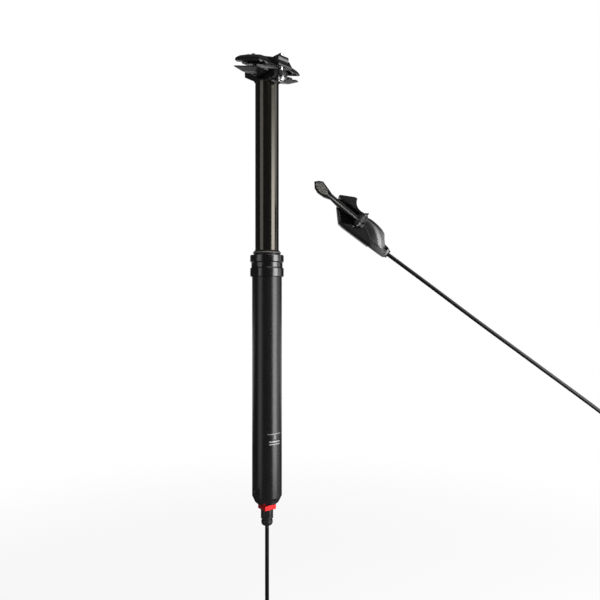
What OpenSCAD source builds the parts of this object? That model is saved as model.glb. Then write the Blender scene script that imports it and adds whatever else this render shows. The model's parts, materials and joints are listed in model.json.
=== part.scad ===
/* [Post] */
// Drop of the upper post
travel = 170; // [125:5:200]
// Outside diameter of the outer tube, the seat tube size
tube_od = 31.6; // [30.9:0.1:34.9]
// Wall of the outer tube
tube_wall = 2; // [1.7:0.1:2.3]
// Room between the stanchion and the tube's bore, for bushings and keys
annulus = 1.3; // [1.1:0.05:1.6]
// Wall of the stanchion
stanchion_wall = 2; // [1.6:0.1:2.2]
// Stanchion left showing above the wiper when fully dropped
stop_gap = 6; // [4:1:10]
// Chamfer of the tube's lower end, across
end_chamfer = 2.4; // [1.5:0.1:3]
// Chamfer of the tube's lower end, along
end_chamfer_h = 5; // [3:0.5:6]

/* [Collar] */
// Height of the lower ring, which has the wrench flats
lower_ring_h = 9.5; // [8:0.5:11]
// Height of the band between the rings
band_h = 5.9; // [4:0.1:7]
// Height of the upper ring
upper_ring_h = 7.7; // [6:0.1:9]
// How far the rings stand proud of the tube
ring_proud = 2; // [1.7:0.1:3]
// How far the band stands proud of the tube
band_proud = 0.75; // [0.4:0.05:1.2]
// Depth of the two wrench flats
flat_depth = 0.9; // [0.5:0.1:1.2]
// Height of the tube neck inside the collar
neck_h = 12; // [10:0.5:13]
// Wall of that neck
neck_wall = 1.1; // [0.9:0.1:1.3]
// Height of the wiper lip above the collar
lip_h = 4.9; // [4:0.1:6]
// Radial thickness of the wiper seal in its pocket
wiper_w = 2.3; // [1.9:0.1:2.5]

/* [Bearings and keys] */
// Length of the upper bushing
upper_bushing_len = 31; // [24:1:36]
// Length of the lower bushing
lower_bushing_len = 12; // [8:1:14]
// Diameter of each guide key
key_d = 2.6; // [2.2:0.1:2.8]
// Length of each guide key
key_len = 13; // [8:1:13]
// Number of guide keys
key_count = 3; // [2:1:4]
// Height of the rubber top stop
stop_h = 4; // [3:0.5:5]

/* [Air and oil] */
// Outside diameter of the fixed inner shaft
shaft_od = 10; // [9:0.2:11]
// Bore of the inner shaft
shaft_id = 6; // [5:0.2:6.6]
// Height of the main piston
piston_h = 14; // [12:1:18]
// Height of the floating piston
floater_h = 14; // [10:1:18]
// Height of the seal head in the stanchion's lower end
seal_head_h = 12; // [10:1:14]
// Diameter of the push rod
rod_d = 3; // [2:0.2:3.6]
// Height of the end cap's plug inside the tube
plug_h = 8.5; // [7:0.5:12]
// Room left below the dropped stanchion
drop_room = 6; // [5:0.5:10]
// Thickness of every O-ring
oring_d = 1.8; // [1.2:0.1:2]
// Stroke of the valve in the main piston
valve_stroke = 2.2; // [1.5:0.1:3]

/* [Saddle clamp] */
// Saddle rail diameter
rail_d = 7; // [6.8:0.1:7.4]
// Distance between the rails
rail_spacing = 44; // [43:0.5:46]
// Length of each rail groove
groove_len = 41; // [34:1:46]
// Nose-down tilt of the clamp as built
clamp_tilt = 17; // [14:0.5:18]
// Height of the tilt axis above the stanchion
axis_h = 15.3; // [15:0.1:17]
// Diameter of the round back of the lower clamp
cradle_d = 19; // [17.5:0.5:19.5]
// Width of the head's ears
ear_w = 17; // [15:0.5:18]
// Clamp bolt thread diameter
bolt_d = 5; // [4:0.5:5]
// Distance from the post axis to each clamp bolt
bolt_reach = 21.5; // [20.5:0.5:23]
// Barrel nut diameter
nut_d = 9; // [8:0.5:10]
// Barrel nut length
nut_len = 14; // [12:0.5:15]
// Width of the upper clamp's bridge
bridge_w = 19; // [17:0.5:20]
// Width of each rail wing outside the rail's centre line
wing_w = 6.8; // [6:0.2:8]

/* [Hose and connector] */
// Hose diameter
hose_d = 4.2; // [4:0.1:5.5]
// Width across the flats of the square connector nut
nut_flats = 14; // [12:0.5:15]
// Height of the connector nut
nut_h = 4.8; // [4:0.2:6]
// Diameter of the quick connector
connector_d = 13.1; // [11:0.1:14]
// Height of the quick connector
connector_h = 9.7; // [8:0.1:12]
// Diameter of the rubber boot
boot_d = 12.2; // [10:0.1:13]
// Height of the rubber boot
boot_h = 6.3; // [5:0.1:8]
// Bend radius of the put-away coil's inner loop
coil_bend = 17.5; // [17:0.5:26]
// Loops in the coil
coil_loops = 6; // [4:1:8]

/* [Remote] */
// Handlebar diameter
bar_d = 22.2; // [22:0.1:22.4]
// Width of the handlebar saddle along the bar
saddle_w = 20; // [16:1:24]
// Outside diameter of the master cylinder
cylinder_d = 12.4; // [11.4:0.2:13.4]
// Bore of the master cylinder
cylinder_bore = 8; // [7:0.2:8.6]
// Thickness of the remote's shell across the hose
shell_w = 17; // [15:0.5:20]
// Wall of the lever pocket
pocket_wall = 2.6; // [2:0.1:3.2]
// Diameter of the lever pivot pin
pivot_d = 4; // [3:0.2:4.4]
// Lever hub diameter
hub_d = 9; // [8:0.2:9.6]
// Pivot axis in front of the master cylinder's axis
pivot_reach = 8; // [7:0.2:8.6]
// Thickness of the lever arm
arm_w = 5; // [4:0.2:5.6]
// Thickness of the thumb pad on the paddle
pad_h = 1.4; // [1:0.1:2]

/* [Clearances] */
// Radial running gap of bearings, pistons and pins
run_gap = 0.05; // [0.03:0.01:0.08]
// Gap at every seated or pressed joint
seat_gap = 0.02; // [0.01:0.01:0.04]
// Gap between moving pieces that don't bear on each other
free_gap = 0.35; // [0.3:0.05:0.5]

/* [Hidden] */
$fn = 64;

// Radii and levels of the telescoping tubes, measured from the collar's underside
tube_r = tube_od / 2;
tube_ir = tube_r - tube_wall;
stanchion_r = tube_ir - annulus;
stanchion_ir = stanchion_r - stanchion_wall;
neck_r = tube_ir + neck_wall;
collar_h = lower_ring_h + band_h + upper_ring_h;
lip_top = collar_h + lip_h;
stanchion_top = lip_top + stop_gap + travel;
ring_r = tube_r + ring_proud;
band_r = tube_r + band_proud;
edge = 0.6;
eps = 0.01;

// The bearing stack hangs from the top of the neck and sets the overlap
bushing_top = neck_h - free_gap;
bushing_bottom = bushing_top - upper_bushing_len;
stop_top = bushing_bottom - seat_gap;
key_top = stop_top - stop_h - free_gap;
key_bottom = key_top - key_len;
key_orbit = (stanchion_r + tube_ir) / 2;
key_slack = 0.1;
lower_bushing_top = key_bottom - free_gap;
lower_bushing_bottom = lower_bushing_top - lower_bushing_len;
tail_h = 3;
stanchion_bottom = lower_bushing_bottom - tail_h;

// The fixed column: end cap, inner shaft, main piston and its valve
tube_bottom = stanchion_bottom - travel - drop_room - plug_h;
cap_top = tube_bottom + plug_h;
shaft_r = shaft_od / 2;
bore_r = shaft_id / 2;
shaft_seat = 2;
shaft_bottom = tube_bottom + shaft_seat;
seal_head_top = stanchion_bottom + seal_head_h;
piston_gap = 4;
piston_bottom = seal_head_top + piston_gap;
piston_top = piston_bottom + piston_h;
piston_r = stanchion_ir - run_gap;
piston_socket = 5;
piston_port_r = 1.2;
port_inset = 2;
bumper_wall = 3;
shaft_top = piston_bottom + piston_socket;
rod_r = rod_d / 2;
rod_slack = 0.5;
slave_h = 8;
slave_bottom = shaft_bottom + 1;
poppet_r = 4.2;
poppet_h = 2.4;
poppet_bottom = piston_top + run_gap;
cage_wall = 1.2;
cage_r = poppet_r + free_gap + cage_wall;
spring_room = 5;
cage_h = poppet_h + valve_stroke + spring_room;
cage_top = piston_top + cage_h;
window_w = 3;

// The floating piston rises in the stanchion by the shaft's share of the bore
floater_ratio = pow(shaft_r / stanchion_ir, 2);
floater_gap = 3;
floater_wall = 3;
floater_bottom = cage_top + travel * (1 - floater_ratio) + floater_gap;

// The wiper and its pocket in the collar
shoulder_h = 3.7;
wiper_floor = neck_h + shoulder_h;
wiper_slack = 0.15;
wiper_ir = stanchion_r + wiper_slack;
wiper_r = wiper_ir + wiper_w;
lip_root = 1.1;
lip_flare = 2.25;
lip_edge = 0.3;
lip_root_r = wiper_ir + lip_root;
lip_flare_r = wiper_ir + lip_flare;

// Lower end of the tube
rim_h = 2.3;
rim_inset = 0.3;
rim_w = 3;
rim_r = tube_r - end_chamfer - rim_inset;
rim_ir = rim_r - rim_w;
rim_slot_w = 3.2;
rim_slots = 4;
rim_turn = -55;
foot_flat_h = 15.5;
foot_flat_depth = 0.9;
foot_wall = 0.6;
foot_slope = end_chamfer_h / end_chamfer;
tube_end = tube_bottom + foot_slope * (tube_ir + foot_wall - tube_r + end_chamfer);
dimple_r = 0.9;
dimple_depth = 0.5;
dimple_drop = 5;
nut_drop = 4.6;
nut_top = tube_bottom - nut_drop;
nut_bottom = nut_top - nut_h;
boss_r = 6.6;
spigot_r = 4;
spigot_bore = 1.6;
connector_bottom = nut_bottom - connector_h;
throat_h = 1.7;
throat_r = connector_d / 2 - 1.4;
boot_top = connector_bottom - throat_h;
boot_bottom = boot_top - boot_h;
nut_turn = -8;
nut_corner = 1.38;
boot_edge = 0.8;
boot_mouth = 0.6;
grip_w = 1.8;
grip_h = 5.3;
grip_turn = -28;

module ring(outer, inner, bottom, top) {
    translate([0, 0, bottom])
        difference() {
            cylinder(r = outer, h = top - bottom);
            translate([0, 0, -1])
                cylinder(r = inner, h = top - bottom + 2);
        }
}

module oring(orbit, level) {
    translate([0, 0, level])
        rotate_extrude()
            translate([orbit, 0])
                circle(d = oring_d - 2 * seat_gap, $fn = 24);
}

// Square groove that holds an O-ring, cut from a shaft or a piston
module oring_groove(orbit, level) {
    ring(orbit + oring_d, orbit - oring_d / 2, level - oring_d / 2, level + oring_d / 2);
}

module outer_tube() {
    color([0.09, 0.09, 0.09])
        difference() {
            rotate_extrude($fn = 96)
                polygon([
                    [tube_ir, tube_end], [tube_ir + foot_wall, tube_end],
                    [tube_r, tube_bottom + end_chamfer_h], [tube_r, 0], [neck_r, 0],
                    [neck_r, neck_h], [tube_ir, neck_h]
                ]);
            for (k = [0 : key_count - 1])
                rotate([0, 0, k * 360 / key_count])
                    translate([key_orbit, 0, key_bottom - travel - tail_h])
                        cylinder(d = key_d + 2 * key_slack, h = travel + key_len + 2 * tail_h);
            for (side = [-1, 1])
                translate([0, side * (2 * tube_r - foot_flat_depth), tube_bottom])
                    cube([2 * tube_r, 2 * tube_r, 2 * foot_flat_h], center = true);
            translate([0, foot_flat_depth - tube_r, tube_bottom + foot_flat_h - dimple_drop])
                rotate([-90, 0, 0])
                    cylinder(r = dimple_r, h = 2 * dimple_depth, center = true);
        }
}

module seal_collar() {
    color([0.05, 0.05, 0.05])
        difference() {
            rotate_extrude($fn = 96)
                polygon([
                    [neck_r + seat_gap, 0], [ring_r - edge, 0], [ring_r, edge],
                    [ring_r, lower_ring_h - edge], [ring_r - edge, lower_ring_h],
                    [band_r, lower_ring_h], [band_r, lower_ring_h + band_h],
                    [ring_r - edge, lower_ring_h + band_h], [ring_r, lower_ring_h + band_h + edge],
                    [ring_r, collar_h - edge], [ring_r - edge, collar_h],
                    [wiper_r + seat_gap, collar_h], [wiper_r + seat_gap, wiper_floor],
                    [stanchion_r + free_gap, wiper_floor], [stanchion_r + free_gap, neck_h + eps],
                    [neck_r + seat_gap, neck_h + eps]
                ]);
            for (side = [-1, 1])
                translate([0, side * (2 * ring_r - flat_depth), 0])
                    cube([2 * ring_r, 2 * ring_r, 2 * lower_ring_h], center = true);
        }
}

module wiper_seal() {
    color([0.12, 0.12, 0.12])
        rotate_extrude($fn = 96)
            polygon([
                [wiper_ir, wiper_floor + seat_gap], [wiper_r, wiper_floor + seat_gap],
                [wiper_r, collar_h], [lip_root_r, collar_h],
                [lip_root_r, collar_h + lip_h * 0.2], [lip_flare_r, collar_h + lip_h * 0.4],
                [lip_flare_r, collar_h + lip_h * 0.55], [wiper_ir + lip_edge, lip_top],
                [wiper_ir, lip_top]
            ]);
}

module upper_bushing() {
    color([0.62, 0.55, 0.4])
        ring(tube_ir - seat_gap, stanchion_r + run_gap, bushing_bottom, bushing_top);
}

module top_stop() {
    color([0.2, 0.2, 0.2])
        ring(tube_ir - seat_gap, stanchion_r + free_gap, stop_top - stop_h, stop_top);
}

module end_cap() {
    color([0.14, 0.14, 0.14])
        difference() {
            rotate_extrude($fn = 96)
                polygon([
                    [bore_r, tube_bottom], [rim_ir, tube_bottom], [rim_ir, tube_bottom - rim_h],
                    [rim_r - rim_h * 0.6, tube_bottom - rim_h], [rim_r, tube_bottom - rim_h * 0.4],
                    [rim_r, tube_bottom], [tube_r - end_chamfer, tube_bottom],
                    [tube_ir + foot_wall - seat_gap, tube_end - seat_gap],
                    [tube_ir - seat_gap, tube_end - seat_gap],
                    [tube_ir - seat_gap, cap_top], [shaft_r + seat_gap, cap_top],
                    [shaft_r + seat_gap, shaft_bottom], [bore_r, shaft_bottom]
                ]);
            for (k = [0 : rim_slots - 1])
                rotate([0, 0, k * 360 / rim_slots + rim_turn])
                    translate([rim_ir - 1, -rim_slot_w / 2, tube_bottom - rim_h - 1])
                        cube([rim_r, rim_slot_w, rim_h + 1]);
            oring_groove(tube_ir - oring_d / 2, tube_bottom + plug_h / 2);
        }
}

module end_cap_oring() {
    color([0.1, 0.1, 0.1])
        oring(tube_ir - oring_d / 2, tube_bottom + plug_h / 2);
}

module drop_bumper() {
    color([0.2, 0.2, 0.2])
        ring(shaft_r + bumper_wall, shaft_r + seat_gap, cap_top, cap_top + drop_room / 2);
}

module inner_shaft() {
    color([0.75, 0.75, 0.76])
        ring(shaft_r, bore_r, shaft_bottom, shaft_top);
}

module main_piston() {
    color([0.7, 0.7, 0.72])
        difference() {
            translate([0, 0, piston_bottom])
                cylinder(r = piston_r, h = piston_h);
            translate([0, 0, piston_bottom - 1])
                cylinder(r = shaft_r + seat_gap, h = piston_socket + 1);
            translate([0, 0, piston_bottom])
                cylinder(r = rod_r + rod_slack, h = piston_h + 1);
            for (k = [0 : 3])
                rotate([0, 0, 90 * k])
                    translate([shaft_r + port_inset, 0, piston_bottom - 1])
                        cylinder(r = piston_port_r, h = piston_h + 2);
            oring_groove(piston_r - oring_d / 2, piston_bottom + piston_h / 2);
        }
}

module piston_oring() {
    color([0.1, 0.1, 0.1])
        oring(piston_r - oring_d / 2, piston_bottom + piston_h / 2);
}

module valve_cage() {
    color([0.6, 0.6, 0.62])
        difference() {
            translate([0, 0, piston_top])
                cylinder(r = cage_r, h = cage_h);
            translate([0, 0, piston_top - 1])
                cylinder(r = cage_r - cage_wall, h = cage_h + 1 - cage_wall);
            translate([0, 0, piston_top])
                cylinder(r = rod_r, h = cage_h + 1);
            for (k = [0 : 3])
                rotate([0, 0, 90 * k + 45])
                    translate([0, -window_w / 2, piston_top + 1])
                        cube([2 * cage_r, window_w, cage_h - 2 * cage_wall - 1]);
        }
}

module connector_nut() {
    color([0.75, 0.06, 0.06])
        difference() {
            union() {
                translate([0, 0, nut_top - 1])
                    cylinder(r = boss_r, h = nut_drop + 1);
                intersection() {
                    rotate([0, 0, nut_turn])
                        translate([0, 0, (nut_top + nut_bottom) / 2])
                            cube([nut_flats, nut_flats, nut_h], center = true);
                    translate([0, 0, nut_bottom - 1])
                        cylinder(d = nut_flats * nut_corner, h = nut_h + 2);
                }
            }
            translate([0, 0, nut_bottom - 1])
                cylinder(r = spigot_r + seat_gap, h = nut_h + nut_drop + 2);
        }
}

module hose_connector() {
    color([0.08, 0.08, 0.08])
        difference() {
            union() {
                translate([0, 0, connector_bottom])
                    cylinder(d = connector_d, h = connector_h);
                translate([0, 0, boot_top])
                    cylinder(r = throat_r, h = throat_h + 1);
                translate([0, 0, nut_bottom - 1])
                    cylinder(r = spigot_r, h = tube_bottom - nut_bottom + 1);
            }
            translate([0, 0, boot_top - 1])
                cylinder(r = spigot_bore, h = tube_bottom - boot_top + 2);
            for (k = [0 : 1])
                rotate([0, 0, 180 * k + grip_turn])
                    translate([connector_d / 2 - 1, -grip_w / 2, nut_bottom - grip_h - 1])
                        cube([2, grip_w, grip_h]);
        }
}

module hose_boot() {
    round_r = boot_d / 2 - hose_d / 2 - boot_mouth;
    color([0.06, 0.06, 0.06])
        rotate_extrude()
            polygon(concat(
                [[0, boot_top], [boot_d / 2 - boot_edge, boot_top], [boot_d / 2, boot_top - boot_edge]],
                [for (a = [0 : 18 : 90]) [
                    boot_d / 2 - round_r * (1 - cos(a)), boot_bottom + round_r * (1 - sin(a))
                ]],
                [[0, boot_bottom]]
            ));
}

// Head and saddle clamp, laid out from the tilt axis
pivot_z = stanchion_top + axis_h;
tilt_sin = sin(clamp_tilt);
tilt_cos = cos(clamp_tilt);
cradle_r = cradle_d / 2;
head_plug_h = 20;
head_neck_r = stanchion_r - 0.6;
front_seat = -axis_h + 2.2;
bolt_r = bolt_d / 2;
bolt_head_r = bolt_d * 0.86;
bolt_head_h = bolt_d - 1.6;
bolt_button_r = bolt_head_r - 1.4;
bolt_button_h = bolt_head_h - 1.4;
bolt_slack = 0.3;
bolt_hex = bolt_d * 0.92;
nut_flat = nut_d / 2 - 2.3;
ear_end = bolt_reach + 6;
ear_top = 0.6;
rear_top = 4.4;
rear_seat = rear_top - 2.8;
rear_end = ear_end + 0.9;
rear_tip_h = 5.7;
ear_corner = 2.5;
ear_lead = 1.5;
rear_root_h = 4.9;
front_root = 1.2;
head_foot = sqrt(pow(head_neck_r, 2) - pow(ear_w / 2, 2));
neck_band = 2.5;
neck_cone = 5;
head_room = 0.8;
valve_r = 4;
valve_well_r = 6;
valve_well_h = 5;
valve_stem_r = 2.6;
valve_bore_r = 1.2;
valve_cap_wall = 1.5;

// Levels and lengths in the clamp's own tilted frame
rail_y = rail_spacing / 2;
rail_r = rail_d / 2;
split = 3.5;
lip_split = 5.5;
trough_inner = rail_y - 7.5;
wing_edge = rail_y + wing_w;
trough_h = 7.4;
bridge_under = 4;
bridge_top = 14.6;
wing_top = 12.4;
wing_shoulder = 10.3;
wing_rim = 3.2;
wing_bevel = 2;
wing_bevel_h = 2.2;
wing_lap = 1;
front_slope = 6;
bridge_fall = 3.2;
rear_slope = 5;
front_tip_up = 1.6;
rear_tip_up = 2;
front_knee_h = 4.6;
rear_knee_h = 5;
knee_share = 0.8;
crown_share = 0.45;
crown_h = 0.8;
trough_bevel = 2;
pocket_floor = 7;
pocket_half = nut_d / 2 + 2;
pocket_w = nut_len + 4 * free_gap;
slot_w = bolt_d + 1;
slot_len = 11;
slot_end = 2.2;
half_groove = groove_len / 2;
barrel_top = -0.6;
nut_level = pocket_floor + nut_d / 2 + free_gap;

// Height at which an upright line at x crosses a level of the tilted clamp, from the tilt axis
function crossing(x, level) = (level - x * tilt_sin) / tilt_cos;

// The same point along the clamp
function along_clamp(x, level) = (x - level * tilt_sin) / tilt_cos;

front_nut_z = pivot_z + crossing(bolt_reach, nut_level);
rear_nut_z = pivot_z + crossing(-bolt_reach, nut_level);
slot_level = (bridge_under + pocket_floor) / 2;
front_slot = along_clamp(bolt_reach, slot_level);
rear_slot = along_clamp(-bolt_reach, slot_level);
bridge_front = front_slot + slot_len / 2 + slot_end;
bridge_rear = rear_slot - slot_len / 2 - slot_end;

module at_clamp() {
    translate([0, 0, pivot_z])
        rotate([0, clamp_tilt, 0])
            children();
}

// Outline in the x and z plane, carried across y about the middle
module across(width) {
    rotate([90, 0, 0])
        linear_extrude(height = width, center = true)
            children();
}

// Outline in the y and z plane, carried along x about the middle
module lengthwise(length) {
    rotate([90, 0, 90])
        linear_extrude(height = length, center = true)
            children();
}

module stanchion() {
    color([0.05, 0.045, 0.04])
        difference() {
            ring(stanchion_r, stanchion_ir, stanchion_bottom, stanchion_top, $fn = 96);
            for (k = [0 : key_count - 1])
                rotate([0, 0, k * 360 / key_count])
                    translate([key_orbit, 0, key_bottom - seat_gap])
                        cylinder(d = key_d + 2 * seat_gap, h = key_len + 2 * seat_gap);
        }
}

module guide_keys() {
    color([0.72, 0.56, 0.25])
        for (k = [0 : key_count - 1])
            rotate([0, 0, k * 360 / key_count])
                translate([key_orbit, 0, key_bottom])
                    cylinder(d = key_d, h = key_len);
}

module lower_bushing() {
    color([0.62, 0.55, 0.4])
        ring(tube_ir - run_gap, stanchion_r + seat_gap, lower_bushing_bottom, lower_bushing_top);
}

module seal_head() {
    groove_level = stanchion_bottom + seal_head_h / 2;
    color([0.66, 0.66, 0.68])
        difference() {
            ring(stanchion_ir - seat_gap, shaft_r + run_gap, stanchion_bottom, seal_head_top);
            ring(shaft_r + run_gap + oring_d, shaft_r / 2,
                groove_level - oring_d / 2, groove_level + oring_d / 2);
        }
}

module shaft_oring() {
    color([0.1, 0.1, 0.1])
        oring(shaft_r + run_gap + oring_d / 2, stanchion_bottom + seal_head_h / 2);
}

module floating_piston() {
    color([0.7, 0.7, 0.72])
        difference() {
            translate([0, 0, floater_bottom])
                cylinder(r = piston_r, h = floater_h);
            translate([0, 0, floater_bottom + floater_h / 3])
                cylinder(r = piston_r - floater_wall, h = floater_h);
            oring_groove(piston_r - oring_d / 2, floater_bottom + floater_h / 2);
        }
}

module floater_oring() {
    color([0.1, 0.1, 0.1])
        oring(piston_r - oring_d / 2, floater_bottom + floater_h / 2);
}

module post_head() {
    color([0.1, 0.1, 0.1])
        difference() {
            union() {
                translate([0, 0, stanchion_top - head_plug_h])
                    cylinder(r = stanchion_ir - seat_gap, h = head_plug_h + eps);
                translate([0, 0, stanchion_top])
                    cylinder(r = head_neck_r, h = neck_band);
                translate([0, 0, stanchion_top + neck_band])
                    cylinder(r1 = head_neck_r, r2 = ear_w / 2, h = neck_cone);
                intersection() {
                    translate([0, 0, pivot_z])
                        across(ear_w)
                            polygon([
                                [head_foot, -axis_h], [head_neck_r, front_seat - front_root],
                                [head_neck_r + front_root, front_seat], [ear_end, front_seat],
                                [ear_end, crossing(ear_end, ear_top)],
                                [cradle_r, crossing(cradle_r, ear_top)], [-cradle_r, 0],
                                [-cradle_r - ear_lead, rear_top], [-rear_end, rear_top],
                                [-rear_end, rear_top - rear_tip_h],
                                [-head_neck_r, rear_root_h - axis_h], [-head_foot, -axis_h]
                            ]);
                    translate([0, 0, stanchion_top])
                        linear_extrude(height = 2 * axis_h) {
                            translate([ear_corner - rear_end, -ear_w / 2])
                                square([rear_end - ear_corner + ear_end - ear_w / 2, ear_w]);
                            translate([-rear_end, ear_corner - ear_w / 2])
                                square([rear_end, ear_w - 2 * ear_corner]);
                            for (side = [-1, 1])
                                translate([ear_corner - rear_end, side * (ear_w / 2 - ear_corner)])
                                    circle(r = ear_corner);
                            translate([ear_end - ear_w / 2, 0])
                                circle(d = ear_w);
                        }
                }
            }
            translate([0, 0, pivot_z])
                rotate([90, 0, 0])
                    cylinder(r = cradle_r, h = 2 * ear_w, center = true);
            for (side = [-1, 1])
                translate([side * bolt_reach, 0, stanchion_top])
                    cylinder(r = bolt_r + bolt_slack, h = 2 * axis_h);
            translate([-bolt_reach, 0, stanchion_top])
                cylinder(r = bolt_head_r + head_room, h = axis_h + rear_seat);
            translate([0, 0, stanchion_top - head_plug_h - 1])
                cylinder(r = valve_r + seat_gap, h = head_plug_h + 2);
            translate([0, 0, stanchion_top - valve_well_h])
                cylinder(r = valve_well_r, h = axis_h + valve_well_h);
        }
}

module air_valve() {
    well_floor = stanchion_top - valve_well_h;
    color([0.75, 0.68, 0.4])
        difference() {
            union() {
                translate([0, 0, stanchion_top - head_plug_h + 2])
                    cylinder(r = valve_r, h = head_plug_h - 2 - valve_well_h);
                translate([0, 0, well_floor - 1])
                    cylinder(r = valve_stem_r, h = valve_well_h + 2);
            }
            translate([0, 0, well_floor - 3])
                cylinder(r = valve_bore_r, h = valve_well_h + 8);
        }
}

module valve_cap() {
    cap_bottom = stanchion_top - valve_well_h + 1;
    cap_h = valve_well_h + 2;
    color([0.1, 0.1, 0.1])
        difference() {
            translate([0, 0, cap_bottom])
                cylinder(r = valve_stem_r + valve_cap_wall, h = cap_h);
            translate([0, 0, cap_bottom - 1])
                cylinder(r = valve_stem_r + seat_gap, h = cap_h - 0.5);
        }
}

module clamp_bolt(x, seat, tip) {
    color([0.78, 0.78, 0.8])
        translate([x, 0, 0])
            difference() {
                union() {
                    translate([0, 0, pivot_z + seat - bolt_head_h])
                        cylinder(r1 = bolt_button_r, r2 = bolt_head_r, h = bolt_button_h);
                    translate([0, 0, pivot_z + seat - bolt_head_h + bolt_button_h])
                        cylinder(r = bolt_head_r, h = bolt_head_h - bolt_button_h);
                    translate([0, 0, pivot_z + seat - 1])
                        cylinder(r = bolt_r, h = tip - pivot_z - seat + 1);
                }
                translate([0, 0, pivot_z + seat - bolt_head_h - 1])
                    cylinder(d = bolt_hex, h = bolt_head_h * 0.6 + 1, $fn = 6);
            }
}

module clamp_bolts() {
    clamp_bolt(bolt_reach, front_seat, front_nut_z + nut_d / 2 + 1);
    clamp_bolt(-bolt_reach, rear_seat, rear_nut_z + nut_d / 2 + 1);
}

module barrel_nut(x, level) {
    color([0.2, 0.2, 0.2])
        translate([x, 0, level])
            difference() {
                rotate([90, 0, 0])
                    cylinder(d = nut_d, h = nut_len, center = true);
                cylinder(r = bolt_r + run_gap, h = 2 * nut_d, center = true);
                translate([-nut_d, -nut_len, nut_flat])
                    cube([2 * nut_d, 2 * nut_len, nut_d]);
            }
}

module front_nut() {
    barrel_nut(bolt_reach, front_nut_z);
}

module rear_nut() {
    barrel_nut(-bolt_reach, rear_nut_z);
}

module rail_groove(side) {
    translate([0, side * rail_y, 0])
        rotate([0, 90, 0])
            cylinder(r = rail_r + run_gap, h = 2 * groove_len, center = true);
}

module lower_clamp() {
    color([0.12, 0.12, 0.12])
        at_clamp()
            difference() {
                union() {
                    intersection() {
                        rotate([90, 0, 0])
                            cylinder(r = cradle_r - free_gap, h = 2 * trough_inner + 4, center = true);
                        translate([0, 0, barrel_top - cradle_d])
                            cube([cradle_d, 4 * rail_y, 2 * cradle_d], center = true);
                    }
                    intersection() {
                        for (side = [0, 1])
                            mirror([0, side, 0])
                                lengthwise(groove_len)
                                    polygon([
                                        [trough_inner, -split / 2], [trough_inner, trough_bevel - trough_h],
                                        [trough_inner + trough_bevel, -trough_h],
                                        [rail_y + trough_bevel, -trough_h],
                                        [wing_edge, -rail_r], [wing_edge, -lip_split / 2],
                                        [rail_y + rail_r, -split / 2]
                                    ]);
                        across(4 * rail_y)
                            polygon([
                                [-half_groove, 0], [half_groove, 0], [half_groove, -rail_r],
                                [half_groove / 2, -trough_h], [-half_groove / 2, -trough_h],
                                [-half_groove, -rail_r]
                            ]);
                    }
                }
                for (side = [-1, 1])
                    rail_groove(side);
            }
}

module upper_clamp() {
    color([0.12, 0.12, 0.12])
        at_clamp()
            difference() {
                union() {
                    across(bridge_w)
                        polygon([
                            [bridge_rear, bridge_under], [bridge_front, bridge_under],
                            [bridge_front, pocket_floor - 1],
                            [bridge_front - front_slope, bridge_top - bridge_fall],
                            [bridge_rear + rear_slope, bridge_top], [bridge_rear, pocket_floor]
                        ]);
                    intersection() {
                        for (side = [0, 1])
                            mirror([0, side, 0])
                                lengthwise(groove_len)
                                    polygon([
                                        [bridge_w / 2 - wing_lap, bridge_under],
                                        [trough_inner, bridge_under], [rail_y - rail_r, split / 2],
                                        [rail_y + rail_r, split / 2], [wing_edge, lip_split / 2],
                                        [wing_edge, lip_split / 2 + wing_rim],
                                        [wing_edge - wing_bevel, lip_split / 2 + wing_rim + wing_bevel_h],
                                        [rail_y, wing_shoulder], [bridge_w / 2 - wing_lap, wing_top]
                                    ]);
                        across(4 * rail_y)
                            polygon([
                                [-half_groove, 0], [half_groove, 0],
                                [half_groove, lip_split / 2 + front_tip_up],
                                [half_groove * knee_share, lip_split / 2 + front_knee_h],
                                [half_groove * crown_share, wing_shoulder + crown_h], [0, wing_top],
                                [-half_groove * crown_share, wing_shoulder + crown_h],
                                [-half_groove * knee_share, lip_split / 2 + rear_knee_h],
                                [-half_groove, lip_split / 2 + rear_tip_up]
                            ]);
                    }
                }
                for (side = [-1, 1])
                    rail_groove(side);
                for (x = [front_slot, rear_slot])
                    translate([x, 0, 0])
                        linear_extrude(height = 2 * bridge_top) {
                            square([slot_len - slot_w, slot_w], center = true);
                            for (end = [-1, 1])
                                translate([end * (slot_len - slot_w) / 2, 0])
                                    circle(d = slot_w);
                        }
                for (x = [along_clamp(bolt_reach, nut_level), along_clamp(-bolt_reach, nut_level)])
                    translate([x - pocket_half, -pocket_w / 2, pocket_floor])
                        cube([2 * pocket_half, pocket_w, bridge_top]);
            }
}

// The remote lies in an upright plane turned from the bike's forward direction. Its own frame
// has x along the hose's exit, y across it and z towards the viewer, from the hose's exit face.
layout_turn = 45;
exit_u = 128.7;
exit_z = 23.9;
exit_dip = 36.6;
front_w = 7.5;
back_w = front_w - shell_w;
pocket_back = back_w + 3.5;
cylinder_r = cylinder_d / 2;
core_r = cylinder_r - 1;
master_r = cylinder_bore / 2;
nose_end = -1.4;
core_end = -40;
nose_root = -22;
bore_end = -10;
port_r = 1.5;
nut_r = 4.4;
nut_thread_r = 3.4;
bar_centre = [-50.5, 29.5];
bar_r = bar_d / 2;
saddle_mid_w = (front_w + back_w) / 2;
pivot_s = -46;
pivot_w = pivot_reach;
hub_r = hub_d / 2;
hub_low = 8.4;
hub_high = 15.4;
ear_low = 4.4;
ear_high = 18;
pivot_low = 2.9;
clip_t = 0.8;
clip_r = pivot_d / 2 + 1.3;
finger_face = pivot_s + 1;
finger_back = finger_face - 4;
finger_low = -3;
finger_w = -1.5;
plunger_tip = finger_face + free_gap;
plunger_r = 2;
plunger_head = -36;
plunger_end = -28;
cup_t = 1.6;
tap_r = 2.1;
tap_depth = 6;
tap_at = [-71.5, 22.7];
tap_lean = 28;
screw_r = 1.5;
cover_t = 1.6;
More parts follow.
